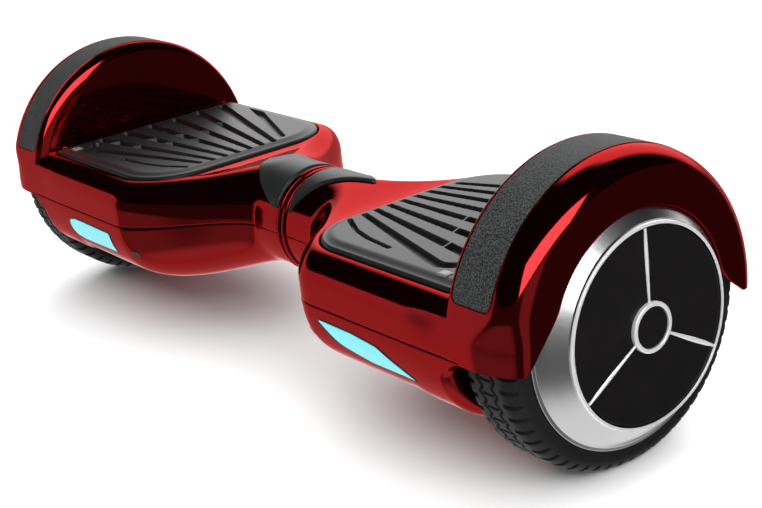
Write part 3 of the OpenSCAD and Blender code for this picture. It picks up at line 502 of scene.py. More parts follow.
def dished(points):
    """Sinks the rear of a skin smoothly round the charge socket and the power button, so that each
    stands clear of a shallow dish: full depth to just past its edge, easing out over a few millimetres.
    Behind the fitting itself the skin drops past its back, so that it does not close the socket."""
    points = points.copy()
    for node in ("charge_socket", "power_button"):
        low, high = box_mm(node)
        middle = (low + high) / 2
        away = np.hypot(points[..., 0] - middle[0], points[..., 2] - middle[2])
        share = 1 - smooth((away - (high[0] - low[0]) / 2 - FITTING_LIP) / FITTING_SLOPE)
        points[..., 1] -= share * np.clip(points[..., 1] - high[1] + FITTING_PROUD, 0, None)
        behind = 1 - smooth((away - (high[0] - low[0]) / 2 + WELL_EDGE) / WELL_SLOPE)
        points[..., 1] -= behind * np.clip(points[..., 1] - low[1] + 1.0, 0, None) * (points[..., 1] > 0)
    return points


def lower_skin(left):
    """The red lower skin: the belly sections, a rounded end beside the wheel that reaches further
    out near the parting line, and an end wall round the axle."""
    t = np.linspace(0, 1, 150)[None, :]
    last_x = 222.0
    x = np.concatenate([np.linspace(SEAM_X, 24, 6), np.linspace(27, 130, 60), np.linspace(134, last_x, 36)])
    body = lower_point(x[:, None], t)
    if not left:
        body = dished(body)
    drop = AXLE_Z - body[-1, :, 2]
    ear_reach = 15.0
    ear = ear_reach * np.clip(1 - drop / 13.0, 0, None) ** 2
    round_r = 7.0 - 5.2 * np.clip(ear / ear_reach, 0, 1) ** 0.5
    start = BELLY_END_X - round_r + ear
    run = np.linspace(0, 1, 8)[1:, None]
    to_start = lower_point(last_x + (start[None] - last_x) * run, t)
    turn = np.linspace(0, QUARTER, 9)[1:, None]
    end_x = start[None] + round_r[None] * np.sin(turn)
    inset = round_r[None] * (1 - np.cos(turn))
    rounding = lower_point(end_x, t, inset)
    rim = rounding[-1]
    centre = np.array([[BELLY_END_X, 0.0, AXLE_Z - PART_GAP]])
    shrink = np.linspace(1, 0, 12)[1:, None, None]
    wall = centre[None] + (rim[None] - centre[None]) * shrink
    past_end = rim[None, :, 0] - BELLY_END_X
    wall[..., 0] = BELLY_END_X + past_end * np.clip(shrink[..., 0] * 8 - 7, 0, 1)
    wall[..., 2] = np.minimum(wall[..., 2], AXLE_Z - PART_GAP)
    return [patch(np.concatenate([body, to_start, rounding, wall]))]


def front_of_belly(x, z):
    """Front to back place of the lower skin's front face at x and height z."""
    a, b = half_depth(x), belly_depth(x)
    power = blend(x, FLARE, 2.0, 2.4)
    depth = np.clip((AXLE_Z - PART_GAP - z) / b, 0, 1)
    y = -a * (1 - depth ** power) ** (1 / power)
    return held_to_crown(x, y, z - AXLE_Z)[0]


def filled_outline(loop, rings=14):
    """Grid from an outline to its middle, as (u, v) points: row 0 is the outline."""
    centre = loop.mean(0)
    k = np.linspace(1, 0, rings)[:, None, None]
    return centre + (loop[None] - centre) * k


def fine(loop, spacing=0.9):
    """Outline with extra points so that no stretch is longer than the spacing."""
    after = np.roll(loop, -1, 0)
    out = []
    for p, q in zip(loop, after):
        n = max(1, int(np.linalg.norm(q - p) / spacing))
        out.append(p + (q - p) * (np.arange(n) / n)[:, None])
    return np.concatenate(out)


def lens_loop(left):
    """Headlight outline as [x, z]: a bullet on the left half, a leaf on the right half."""
    if left:
        corners = [[129, 75.8, 2], [129, 60.6, 2], [178, 60.2, 6], [190.5, 62.5, 7], [190.5, 74.5, 8],
                   [178, 76.8, 8]]
    else:
        corners = [[120, 76.8, 1], [152, 76.4, 30], [174, 74.2, 12], [203.5, 60.0, 1], [163, 59.2, 20],
                   [136, 64.5, 20]]
    return fine(rounded(corners, 2, 8))


def lens(left):
    """Cyan lens: the outline laid on the belly's front face, slightly proud, with a soft edge."""
    grid = filled_outline(lens_loop(left), 16)
    x, z = grid[..., 0], grid[..., 1]
    rise = 0.55 * np.sqrt(np.clip(np.linspace(0, 6, 16), 0, 1))[:, None]
    front = np.stack([x, front_of_belly(x, z) - rise, z], -1)
    back = np.stack([x, front_of_belly(x, z) + 1.4, z], -1)
    return [patch(front, close_columns=True), patch(back, close_columns=True),
            patch(np.stack([front[0], back[0]]), close_columns=True)]


def lens_groove_shade(left):
    """Thin black bead round the lens, a small round section along the outline: painted shade that stands in
    for the shaded groove where the lens sits in the shell.
    """
    loop = lens_loop(left)
    ahead = np.roll(loop, -1, 0) - np.roll(loop, 1, 0)
    outward = np.stack([ahead[:, 1], -ahead[:, 0]], -1) / np.linalg.norm(ahead, axis=1)[:, None]
    if np.sum((loop - loop.mean(0)) * outward) < 0:
        outward = -outward
    turn = np.linspace(0, 2 * math.pi, 9)[:-1]
    rows = []
    for t in turn:
        x, z = (loop + outward * (0.45 + 0.55 * math.cos(t))).T
        rows.append(np.stack([x, front_of_belly(x, z) - 0.45 * math.sin(t), z], -1))
    return [patch(np.array(rows), close_rows=True, close_columns=True)]


# each cup's x and its t on the lower section
CUP_PLACES = ((104.7, 0.104), (134.8, 0.482), (94.2, 0.546), (192.0, 0.276))
CUP_R = 3.0
CUP_PROFILE = ((CUP_R, -0.5), (CUP_R, 0.05), (CUP_R - 0.5, 0.22), (CUP_R - 1.0, 0.05), (0.0, 0.08))


def screw_hole_shades():
    """Round screw openings in the lower skin: each a dish with a rolled rim, laid on the skin and drawn in
    the black finish as painted shade that stands in for the shade inside the opening.
    """
    turn = np.linspace(0, 2 * math.pi, 33)[:-1][None, :]
    radius = np.array([r for r, _ in CUP_PROFILE])[:, None]
    lift = np.array([rise for _, rise in CUP_PROFILE])[:, None] + 0 * turn
    parts = []
    for x0, t0 in CUP_PLACES:
        spot, ahead = lower_point(x0, t0), lower_point(x0, t0 + 0.002)
        per_t = np.linalg.norm(ahead - spot) / 0.002
        x = x0 + radius * np.cos(turn)
        t = t0 + radius * np.sin(turn) / per_t
        parts.append(patch(lower_point(x, t, -lift), close_columns=True))
    return parts


# ---------------------------------------------------------------- grip strip

def strip_skin():
    """Gritty strip on the crown: a cylinder patch with rounded corners at both ends, and rounded
    long edges. The red lip round it is made by strip_lip()."""
    low, high = CROWN_R - 0.9, CROWN_R - 0.05
    xm = (STRIP_X[0] + STRIP_X[1]) / 2
    half = (STRIP_X[1] - STRIP_X[0]) / 2 - 0.4
    corner = STRIP_CORNER
    length = CROWN_R * (math.pi - 2 * STRIP_END)
    along = np.concatenate([corner * (1 - np.cos(np.linspace(0, QUARTER, 9))),
                            np.linspace(corner, length - corner, 170)[1:-1],
                            length - corner * (1 - np.cos(np.linspace(QUARTER, 0, 9)))])
    near = np.minimum(along, length - along)
    bow = np.sqrt(np.clip(corner ** 2 - (corner - near) ** 2, 0, None))
    width = np.where(near < corner, half - corner + bow, half)
    across = np.array([0, 0, 0.3, 1.0])
    edge = np.array([0, 0.6, 0.9, 1.0])
    left_x = xm - width[:, None] + across[None] * 1.0
    right_x = xm + width[:, None] - across[None, ::-1] * 1.0
    mid = xm + np.linspace(-1, 1, 12)[None, 1:-1] * (width[:, None] - 1.0)
    x = np.concatenate([left_x, mid, right_x], 1)
    lift = np.concatenate([edge, np.ones(10), edge[::-1]])[None, :]
    soft = np.clip(near / 1.2, 0, 1)[:, None] ** 0.5
    radius = low + (high - low) * lift * soft
    angle = (STRIP_END + along / CROWN_R)[:, None]
    top = about_axle(x, radius, angle)
    bottom = about_axle(x, np.full_like(x, low - 0.4), angle)
    return block(top, bottom)


def strip_lip():
    """Thin red bead round the grip strip, on the crown."""
    xm = (STRIP_X[0] + STRIP_X[1]) / 2
    half = (STRIP_X[1] - STRIP_X[0]) / 2
    length = CROWN_R * (math.pi - 2 * STRIP_END)
    corners = [[xm - half, 0], [xm - half, length], [xm + half, length], [xm + half, 0]]
    loop = fine(rounded(corners, STRIP_CORNER, 8), 1.6)
    ahead = np.roll(loop, -1, 0) - np.roll(loop, 1, 0)
    outward = np.stack([-ahead[:, 1], ahead[:, 0]], -1) / np.linalg.norm(ahead, axis=1)[:, None]
    if np.sum((loop - np.array([xm, length / 2])) * outward) < 0:
        outward = -outward
    turn = np.linspace(0, 2 * math.pi, 9)[:-1]
    rows = []
    for t in turn:
        p = loop + outward * (0.05 + 0.5 * math.cos(t))
        rows.append(about_axle(p[:, 0], CROWN_R - 0.55 + 0.5 * math.sin(t), STRIP_END + p[:, 1] / CROWN_R))
    return [patch(np.array(rows), close_rows=True, close_columns=True)]


# ---------------------------------------------------------------- neck cover

COVER_LEAN = {"left": 0.0, "right": 0.16}
COVER_REACH = {
    "left": ((0.0, 58), (0.05, 54.5), (0.14, 50.5), (0.29, 44),
             (0.37, 39), (0.47, 33), (0.58, 23), (0.71, 11)),
    "right": ((0.0, 50), (0.06, 44), (0.12, 38.5), (0.28, 28.5),
              (0.38, 22.5), (0.48, 18), (0.60, 12.5), (0.71, 7.5))}


def neck_cover_skin(side):
    """Black domed cover over the top of the neck. It runs out to a leaf tip on top, which leans to
    the rear on the right half, and comes to a point at the front and the back. Its skin stands proud
    of the neck and rolls down to it at the edges."""
    reach = np.array(COVER_REACH[side])
    away = np.sin(np.linspace(-1, 1, 90) * QUARTER) * reach[-1, 0]
    q = 1 + away[:, None]
    inner = SEAM_X + 5.2
    lean = COVER_LEAN[side] * (1 - (away / reach[-1, 0]) ** 2)
    width = np.interp(np.abs(away - lean), reach[:, 0], reach[:, 1] - inner + SEAM_X)[:, None]
    width[[0, -1]] = width[[1, -2]] * 0.6
    k = np.linspace(0, 1, 34)[None, :]
    x = inner + width * k
    k_edge = np.minimum(k, 1 - k) * width / 2.2
    q_edge = (reach[-1, 0] - np.abs(away))[:, None] / 0.08
    dome = np.sqrt(np.clip(1 - (1 - np.clip(k_edge, 0, 1)) ** 2, 0, 1)) * np.sqrt(np.clip(q_edge, 0, 1))
    skin = upper_point(x, np.broadcast_to(q, x.shape))
    centre = np.stack([x, np.zeros_like(x), np.full_like(x, AXLE_Z)], -1)
    outward = skin - centre
    outward /= np.linalg.norm(outward, axis=-1, keepdims=True)
    top = skin + outward * (0.1 + 1.9 * dome)[..., None]
    bottom = skin - outward * 0.6
    return block(top, bottom)


# ---------------------------------------------------------------- foot mat

def outline_distance(x, y):
    """How far a point is inside the mat's outline."""
    x0, x1 = MAT_X
    cx, hx = (x0 + x1) / 2, (x1 - x0) / 2
    r = np.where(x < cx, MAT_CORNER, MAT_OUTER_CORNER)
    dx, dy = np.abs(x - cx) - (hx - r), np.abs(y) - (MAT_HALF_D - r)
    outside = np.hypot(np.clip(dx, 0, None), np.clip(dy, 0, None))
    return -(outside + np.minimum(np.maximum(dx, dy), 0) - r)


def line_distance(x, y, points):
    """Distance from each (x, y) to a broken line, and how far along it the nearest point is."""
    best = np.full(x.shape, 1e9)
    place = np.zeros(x.shape)
    points = np.asarray(points, float)
    total = 0.0
    for a, b in zip(points[:-1], points[1:]):
        d = b - a
        size = np.hypot(*d)
        t = np.clip(((x - a[0]) * d[0] + (y - a[1]) * d[1]) / size ** 2, 0, 1)
        away = np.hypot(x - a[0] - d[0] * t, y - a[1] - d[1] * t)
        closer = away < best
        best = np.where(closer, away, best)
        place = np.where(closer, total + t * size, place)
        total += size
    return best, place / total


GROOVE_STARTS = (-33, -23, -13, -3, 7, 17, 27, 38)
GROOVE_X0 = 91.0
GROOVE_X1 = 216.0
# each bridge's groove start and its share of that groove's length
MAT_BRIDGES = ((-23, 0.62), (-23, 0.80), (-13, 0.54), (-13, 0.70), (-3, 0.48), (-3, 0.66), (7, 0.60),
               (17, 0.72))


def groove_line(y0):
    """Centre line of a groove: it fans out from a point inboard of the mat."""
    slope = 0.0088 * y0 + 0.03
    x0 = GROOVE_X0 + max(0.0, abs(y0) - 26) * 0.5
    if y0 == GROOVE_STARTS[0]:
        return [[x0, y0], [190, -59], [197, -60], [203, -57], [208, -51]]
    return [[x0, y0], [GROOVE_X1, y0 + slope * (GROOVE_X1 - GROOVE_X0)]]


def mat_height(x, y):
    """Height of the mat's top over the deck: a sloping round border, then a field at full height
    with fanned grooves cut into it, some with a slanted bridge left across them."""
    d = outline_distance(x, y)
    border = 0.3 + 1.5 * np.sqrt(np.clip(d / 1.6, 0, 1)) + (MAT_PROUD - 1.8) * smooth((d - 1.5) / 7.5)
    depth = np.zeros_like(x)
    for y0 in GROOVE_STARTS:
        away, place = line_distance(x, y, groove_line(y0))
        width = 1.8 + 2.0 * place
        cut = 1 - smooth((away - width + 0.4) / 0.8)
        for start, where in MAT_BRIDGES:
            if start == y0:
                slanted = place - where + (y - y0) * 0.004
                cut = cut * smooth((np.abs(slanted) * 125 - 0.7) / 0.8)
        depth = np.maximum(depth, cut)
    away, _ = line_distance(x, y, [[94, -44], [112, -53], [130, -57.5], [152, -60]])
    depth = np.maximum(depth, 1 - smooth((away - 0.9) / 0.9))
    inner_field = smooth((d - 7.0) / 1.5)
    return border - 3.3 * depth * inner_field


def mat_skin():
    """Foot mat: mapped grid inside its outline with the height above, a skirt and a flat underside."""
    columns, rows = 300, 320
    s = np.linspace(0, 1, columns)
    ease = np.where(s < 0.12, s ** 2 / 0.24, s - 0.06) / 0.94
    x = MAT_X[0] + 0.02 + (MAT_X[1] - MAT_X[0] - 0.04) * ease
    near, far = x - MAT_X[0], MAT_X[1] - x
    half = np.full(columns, MAT_HALF_D)
    for r, inset in ((MAT_CORNER, near), (MAT_OUTER_CORNER, far)):
        bow = np.sqrt(np.clip(r ** 2 - (r - inset) ** 2, 0, None))
        half = np.where(inset < r, MAT_HALF_D - r + bow, half)
    v = np.linspace(-1, 1, rows)
    y = half[:, None] * v[None]
    x = np.broadcast_to(x[:, None], y.shape)
    top = np.stack([x, y, DECK_Z + mat_height(x, y)], -1)
    edge_top = np.concatenate([top[:, 0], top[-1, 1:], top[::-1, -1][1:], top[0, ::-1][1:-1]])
    edge_base = edge_top.copy()
    edge_base[:, 2] = DECK_Z - 4.5
    centre = edge_base.mean(0)
    k = np.linspace(1, 0, 3)[:, None, None]
    floor = centre + (edge_base[None] - centre) * k
    return [patch(top), patch(np.stack([edge_top, edge_base]), close_columns=True),
            patch(floor, close_columns=True)]


def mat_tab():
    """Small glossy tab at the mat's outer front corner, a pillow-shaped block."""
    n = 14
    u, v = np.meshgrid(np.linspace(-1, 1, n), np.linspace(-1, 1, n), indexing="ij")
    x = 209.5 + 4.5 * u
    y = -67.0 + 3.6 * v
    dome = (np.clip(1 - u ** 6, 0, 1) * np.clip(1 - v ** 6, 0, 1)) ** 0.5
    top = np.stack([x, y, DECK_Z + 2.2 + 2.2 * dome], -1)
    bottom = np.stack([x, y, np.full_like(x, DECK_Z + 1.2)], -1)
    return block(top, bottom)


# ---------------------------------------------------------------- wheel

def tyre_skin():
    """Solid tyre: a turned profile with a zigzag centre tread and short sipes on both shoulders."""
    steps = 1440
    x0, x1 = TYRE_X
    corner = 9.0
    seat = RIM_R + 0.75
    t = np.linspace(0, QUARTER, 14)
    left = np.stack([x0 + corner - corner * np.cos(t), TYRE_R - corner + corner * np.sin(t)], -1)
    right = np.stack([x1 - corner + corner * np.sin(t), TYRE_R - corner + corner * np.cos(t)], -1)
    crown_x = np.linspace(x0 + corner, x1 - corner, 22)[1:-1]
    crown = np.stack([crown_x, np.full(20, TYRE_R)], -1)
    outer = np.concatenate([[[x0 + 1.5, seat], [x0, seat + 2]], left, crown, right,
                            [[x1, seat + 2], [x1 - 0.5, seat]]])
    angle = np.linspace(0, 2 * math.pi, steps, endpoint=False)[:, None]
    x, radius = outer[None, :, 0], outer[None, :, 1]
    middle = (x0 + x1) / 2
    pitch = 60
    phase = (angle * pitch / (2 * math.pi)) % 1.0
    wave = np.abs(phase * 2 - 1) * 2 - 1
    across = np.abs(x - middle)
    line = (np.abs(across - 5.0 - 1.6 * wave) < 0.75)
    side = np.clip((across - 9.5) / 1.0, 0, 1) * np.clip((radius - (TYRE_R - 5.5)) / 1.5, 0, 1)
    slant = (phase + (across - 12) * 0.02) % 1.0
    sipe = smooth((0.17 - np.abs(slant - 0.5)) / 0.08) * side
    notch = smooth((0.14 - np.abs((phase + 0.5) % 1.0 - 0.5)) / 0.08) * (across < 4.0)
    cut = 1.6 * sipe + 1.2 * line + 1.0 * notch
    centre_r = TYRE_R - corner
    dx, dr = np.broadcast_arrays(x - np.clip(x, x0 + corner, x1 - corner), radius - centre_r + 0 * angle)
    size = np.maximum(np.hypot(dx, dr), 1e-6)
    tread = radius > centre_r - 0.01
    nx, nr = np.where(tread, dx / size, 0), np.where(tread, dr / size, 0)
    points = about_axle(x - nx * cut, radius - nr * cut, angle)
    return [patch(points, close_rows=True, close_columns=True)]


def rim_skin():
    """Polished rim and motor can: a flat lip, the dished cone and the bright ring round the disc."""
    inner_x = rotor_low[0]
    face = DISC_FACE_X
    profile = rounded([
        [inner_x, RIM_R - 12, 0.4], [inner_x, RIM_R + 0.6, 0.4], [TYRE_X[1] + 1.3, RIM_R + 0.6, 0.5],
        [TYRE_X[1] + 1.7, RIM_R - 1.4, 0.8], [TYRE_X[1] + 6.5, 64.4, 3.0], [face - 1.6, DISC_R + 3.0, 1.5],
        [face + 0.2, DISC_R + 2.3, 0.5], [face + 0.2, DISC_R + 0.9, 0.4], [face - 1.4, DISC_R + 0.35, 0.2],
        [face - 2.7, DISC_R + 0.3, 0.2], [face - 2.7, 4, 0.2], [face - 6.0, 4, 0.2], [face - 12, 50, 0.4],
        [inner_x + 2, RIM_R - 12, 0.4]], 0.5, 7)
    return [turned(profile, 256)]


def disc_skin():
    """Black disc with a fine round edge and a very slight dome."""
    face = DISC_FACE_X
    r = np.linspace(DISC_R - 0.8, 0.0, 30)
    dome = [[face - 0.1 + 0.05 * (1 - (k / DISC_R) ** 2), k] for k in r]
    profile = np.array([[face - 2.3, 0.0], [face - 2.3, DISC_R - 0.1], [face - 0.7, DISC_R - 0.1],
                        [face - 0.3, DISC_R - 0.3]] + dome)
    return [turned(profile, 192)]


def disc_ring_skin():
    """Thin bright ring between the disc and the dished rim."""
    face = DISC_FACE_X
    return [turned(rounded([[face - 0.6, DISC_R + 0.75], [face + 0.45, DISC_R + 0.75, 0.4],
                            [face + 0.4, DISC_R + 2.3, 0.5], [face - 0.6, DISC_R + 2.9]], 0.1, 6), 256)]


SPOKE_TURNS = (0.0, 120.0, 240.0)


def spokes_skin():
    """Three bright spokes, pointed at the rim end and widest two thirds of the way out, each with a
    ridge, and the raised centre ring."""
    face = DISC_FACE_X
    t = np.linspace(0, 1, 40)[:, None]
    r = RING_R - 0.6 + (DISC_R + 0.4 - RING_R + 0.6) * t
    half = np.interp(t, [0, 0.55, 0.8, 1.0], [0.75, 1.35, 1.25, 0.75])
    across = np.linspace(-1, 1, 9)[None, :]
    rise = 0.75 * (1 - np.abs(across) ** 2.2) + 0 * t
    parts = []
    for turn in SPOKE_TURNS:
        a = math.radians(turn)
        sideways = across * half
        y, z = r * math.sin(a) + sideways * math.cos(a), r * math.cos(a) - sideways * math.sin(a)
        top = np.stack([face + rise, y + 0 * rise, AXLE_Z + z + 0 * rise], -1)
        bottom = np.stack([np.full_like(top[..., 0], face - 0.4), top[..., 1], top[..., 2]], -1)
        parts += block(top, bottom)
    ring = rounded([[face - 0.3, CAP_R + 0.3], [RING_X - 0.3, CAP_R + 0.3, 1.0], [RING_X - 0.05, 12.6, 0.9],
                    [RING_X - 0.5, RING_R, 1.2], [face - 0.3, RING_R]], 0.3, 7)
    return parts + [turned(ring, 160)]


def cap_skin():
    """Black centre cap with a rounded edge."""
    face = DISC_FACE_X
    top = face + 1.7
    profile = np.concatenate([[[face - 0.3, 0.0], [face - 0.3, CAP_R]],
                              rounded([[face, CAP_R], [top, CAP_R, 0.8], [top, 0.0]], 0, 6)[1:-1],
                              [[top, 0.0]]])
    return [turned(profile, 128)]


# ---------------------------------------------------------------- finishes

def new_material(name):
    """An empty material with a Principled shader, and a function that adds and links nodes."""
    material = bpy.data.materials.new(name)
    material.use_nodes = True
    tree = material.node_tree
    shader = tree.nodes["Principled BSDF"]

    def add(kind, inputs=None, **settings):
        """One node, with its settings made and its inputs set or linked."""
        node = tree.nodes.new(kind)
        for key, value in settings.items():
            setattr(node, key, value)
        for key, value in (inputs or {}).items():
            socket = node.inputs[key]
            if isinstance(value, bpy.types.NodeSocket):
                tree.links.new(value, socket)
            else:
                socket.default_value = value
        return node

    return material, tree, shader, add


def spread(add, factor, low, high):
    """A colour ramp between two colours or greys."""
    ramp = add("ShaderNodeValToRGB", {"Fac": factor})
    for element, value in zip(ramp.color_ramp.elements, (low, high)):
        grey = isinstance(value, (int, float))
        element.color = (value, value, value, 1) if grey else (*value, 1)
    return ramp.outputs["Color"]


def finish(name, dark, light, rough, bump=0.1, scale=400.0, metallic=0.0, coat=0.0, coat_rough=0.05,
           specular=0.5, height=0.0001, detail=3.0):
    """Procedural finish: cloudy colour between two tones, speckled roughness and a fine bump."""
    material, tree, shader, add = new_material(name)
    where = add("ShaderNodeTexCoord").outputs["Object"]
    cloud = add("ShaderNodeTexNoise", {"Vector": where, "Scale": scale / 12, "Detail": 4.0}).outputs["Fac"]
    grain = add("ShaderNodeTexNoise", {"Vector": where, "Scale": scale, "Detail": detail}).outputs["Fac"]
    tree.links.new(spread(add, cloud, dark, light), shader.inputs["Base Color"])
    tree.links.new(spread(add, grain, rough[0], rough[1]), shader.inputs["Roughness"])
    relief = add("ShaderNodeBump", {"Height": grain, "Strength": bump, "Distance": height})
    tree.links.new(relief.outputs["Normal"], shader.inputs["Normal"])
    shader.inputs["Metallic"].default_value = metallic
    shader.inputs["Coat Weight"].default_value = coat
    shader.inputs["Coat Roughness"].default_value = coat_rough
    shader.inputs["Specular IOR Level"].default_value = specular
    return material


def red_lacquer():
    """Chrome-like red: mirror metal under a clear coat, with faint flow marks in the coat."""
    material = finish("red_lacquer", (0.27, 0.0065, 0.008), (0.30, 0.008, 0.010), (0.06, 0.10), bump=0.04,
                      scale=60.0, metallic=1.0, coat=0.16, coat_rough=0.03, height=0.0002)
    material.node_tree.nodes["Principled BSDF"].inputs["Specular Tint"].default_value = (0.85, 0.16, 0.16, 1)
    return material


def painted_glow(material, strength):
    """Adds a faint painted glow, in the same colour, to a finish: emission that stands in for light the
    finish does not get from the lamps.
    """
    shader = material.node_tree.nodes["Principled BSDF"]
    tint = shader.inputs["Base Color"].links[0].from_socket
    material.node_tree.links.new(tint, shader.inputs["Emission Color"])
    shader.inputs["Emission Strength"].default_value = strength
    return material


def turned_metal(name, centre_z, tone=0.8):
    """Polished aluminium with fine turning rings about the axle."""
    material, tree, shader, add = new_material(name)
    where = add("ShaderNodeTexCoord").outputs["Object"]
    centred = add("ShaderNodeMapping", {"Vector": where, "Location": (0, 0, -centre_z)}).outputs["Vector"]
    rings = add("ShaderNodeTexWave", {"Vector": centred, "Scale": 900.0, "Distortion": 1.0, "Detail": 2.0},
                wave_type="RINGS", rings_direction="X").outputs["Fac"]
    cloud = add("ShaderNodeTexNoise", {"Vector": where, "Scale": 22.0, "Detail": 4.0}).outputs["Fac"]
    tint = spread(add, cloud, (tone * 0.93,) * 3, (tone, tone, tone * 1.015))
    tree.links.new(tint, shader.inputs["Base Color"])
    tree.links.new(spread(add, rings, 0.20, 0.26), shader.inputs["Roughness"])
    relief = add("ShaderNodeBump", {"Height": rings, "Strength": 0.04, "Distance": 0.00004})
    tree.links.new(relief.outputs["Normal"], shader.inputs["Normal"])
    around = add("ShaderNodeTangent", direction_type="RADIAL", axis="X").outputs["Tangent"]
    tree.links.new(around, shader.inputs["Tangent"])
    shader.inputs["Anisotropic"].default_value = 0.7
    shader.inputs["Metallic"].default_value = 1.0
    return material


def grit():
    """Coarse non-slip grit: dark grains with pale sparkles."""
    material, tree, shader, add = new_material("grit_strip")
    where = add("ShaderNodeTexCoord").outputs["Object"]
    grains = add("ShaderNodeTexVoronoi", {"Vector": where, "Scale": 1300.0}).outputs["Distance"]
    rough = add("ShaderNodeTexNoise", {"Vector": where, "Scale": 1200.0, "Detail": 3.0}).outputs["Fac"]
    both = add("ShaderNodeMath", {0: grains, 1: rough}, operation="MULTIPLY").outputs["Value"]
    ramp = add("ShaderNodeValToRGB", {"Fac": rough})
    ramp.color_ramp.elements[0].position = 0.42
    ramp.color_ramp.elements[0].color = (0.006, 0.0065, 0.0065, 1)
    ramp.color_ramp.elements[1].position = 0.64
    ramp.color_ramp.elements[1].color = (0.050, 0.053, 0.052, 1)
    tree.links.new(ramp.outputs["Color"], shader.inputs["Base Color"])
    tree.links.new(spread(add, rough, 0.55, 0.85), shader.inputs["Roughness"])
    relief = add("ShaderNodeBump", {"Height": both, "Strength": 0.9, "Distance": 0.0006})
    tree.links.new(relief.outputs["Normal"], shader.inputs["Normal"])
    return material


RED = red_lacquer()
GRIT = grit()
MAT_RUBBER = finish("mat_rubber", (0.006, 0.006, 0.0065), (0.010, 0.010, 0.011), (0.30, 0.42),
                    bump=0.12, scale=900, specular=0.3)
TYRE_RUBBER = finish("tyre_rubber", (0.005, 0.005, 0.005), (0.009, 0.009, 0.009), (0.45, 0.6),
                     bump=0.2, scale=700, specular=0.25)
COVER_BLACK = finish("cover_plastic", (0.008, 0.0095, 0.0095), (0.012, 0.0135, 0.0135), (0.34, 0.45),
                     bump=0.15, scale=1200, specular=0.3)
DISC_BLACK = finish("disc_black", (0.0045, 0.0040, 0.0040), (0.007, 0.006, 0.006), (0.3, 0.4),
                    bump=0.05, scale=900, specular=0.15)
# Black finish for the bead round each lens and for the screw cups: painted shade that stands in for the
# shaded groove round the lens and the shade inside the screw openings.
SHADE_BLACK = finish("painted_shade_black", (0.008, 0.008, 0.008), (0.015, 0.015, 0.015), (0.4, 0.5), scale=900)
TAB_GREY = finish("tab_grey", (0.10, 0.105, 0.105), (0.14, 0.145, 0.145), (0.15, 0.25), scale=900)
# The lens gets a faint painted glow: emission that stands in for light its front face does not get from the
# lamps.
LENS = painted_glow(finish("lens_cyan", (0.12, 0.56, 0.60), (0.17, 0.63, 0.68), (0.15, 0.25),
                      bump=0.04, scale=300), 0.3)
POLISHED = turned_metal("polished_rim", AXLE_Z * MM)
BRIGHT = finish("bright_trim", (0.80, 0.80, 0.81), (0.88, 0.88, 0.89), (0.16, 0.26), bump=0.04, scale=900,
                metallic=0.55)

CAD_FINISHES = {
    "steel": finish("zinc_steel", (0.42, 0.43, 0.45), (0.58, 0.59, 0.6), (0.25, 0.42),
                    scale=600, metallic=1.0),
    "cast_frame": finish("cast_aluminium", (0.45, 0.45, 0.46), (0.6, 0.6, 0.61), (0.45, 0.65),
                         bump=0.4, scale=800, metallic=1.0),
    "rim": POLISHED,
    "bright_trim": BRIGHT,
    "red_shell": RED,
    "satin_black": COVER_BLACK,
    "grip": GRIT,
    "mat_rubber": MAT_RUBBER,
    "lens": LENS,
    "tyre": TYRE_RUBBER,
    "disc_black": DISC_BLACK,
    "bronze": finish("sintered_bronze", (0.5, 0.3, 0.12), (0.66, 0.44, 0.2), (0.35, 0.55),
                     bump=0.3, scale=900, metallic=1.0),
    "stator_iron": finish("copper_winding", (0.5, 0.2, 0.07), (0.66, 0.3, 0.12), (0.25, 0.4),
                          scale=1200, metallic=0.9),
    "magnet": finish("nickel_magnet", (0.4, 0.4, 0.41), (0.5, 0.5, 0.51), (0.2, 0.35), metallic=1.0),
    "circuit_board": finish("solder_mask", (0.006, 0.10, 0.03), (0.01, 0.15, 0.045), (0.25, 0.4), coat=0.3),
    "battery": finish("shrink_sleeve", (0.02, 0.07, 0.25), (0.03, 0.1, 0.34), (0.2, 0.32),
                      coat=0.3, scale=200),
    "cable": finish("cable_sleeve", (0.01, 0.01, 0.01), (0.02, 0.02, 0.02), (0.5, 0.65), scale=1200),
    "socket_black": finish("socket_plastic", (0.01, 0.01, 0.01), (0.02, 0.02, 0.02), (0.35, 0.5), scale=1000),
}

for entry in frame["record"]["subparts"]:
    node = frame["nodes"][entry["node"]]
    node.data.materials.clear()
    node.data.materials.append(CAD_FINISHES[entry["material_slot"]])


# ---------------------------------------------------------------- pieces

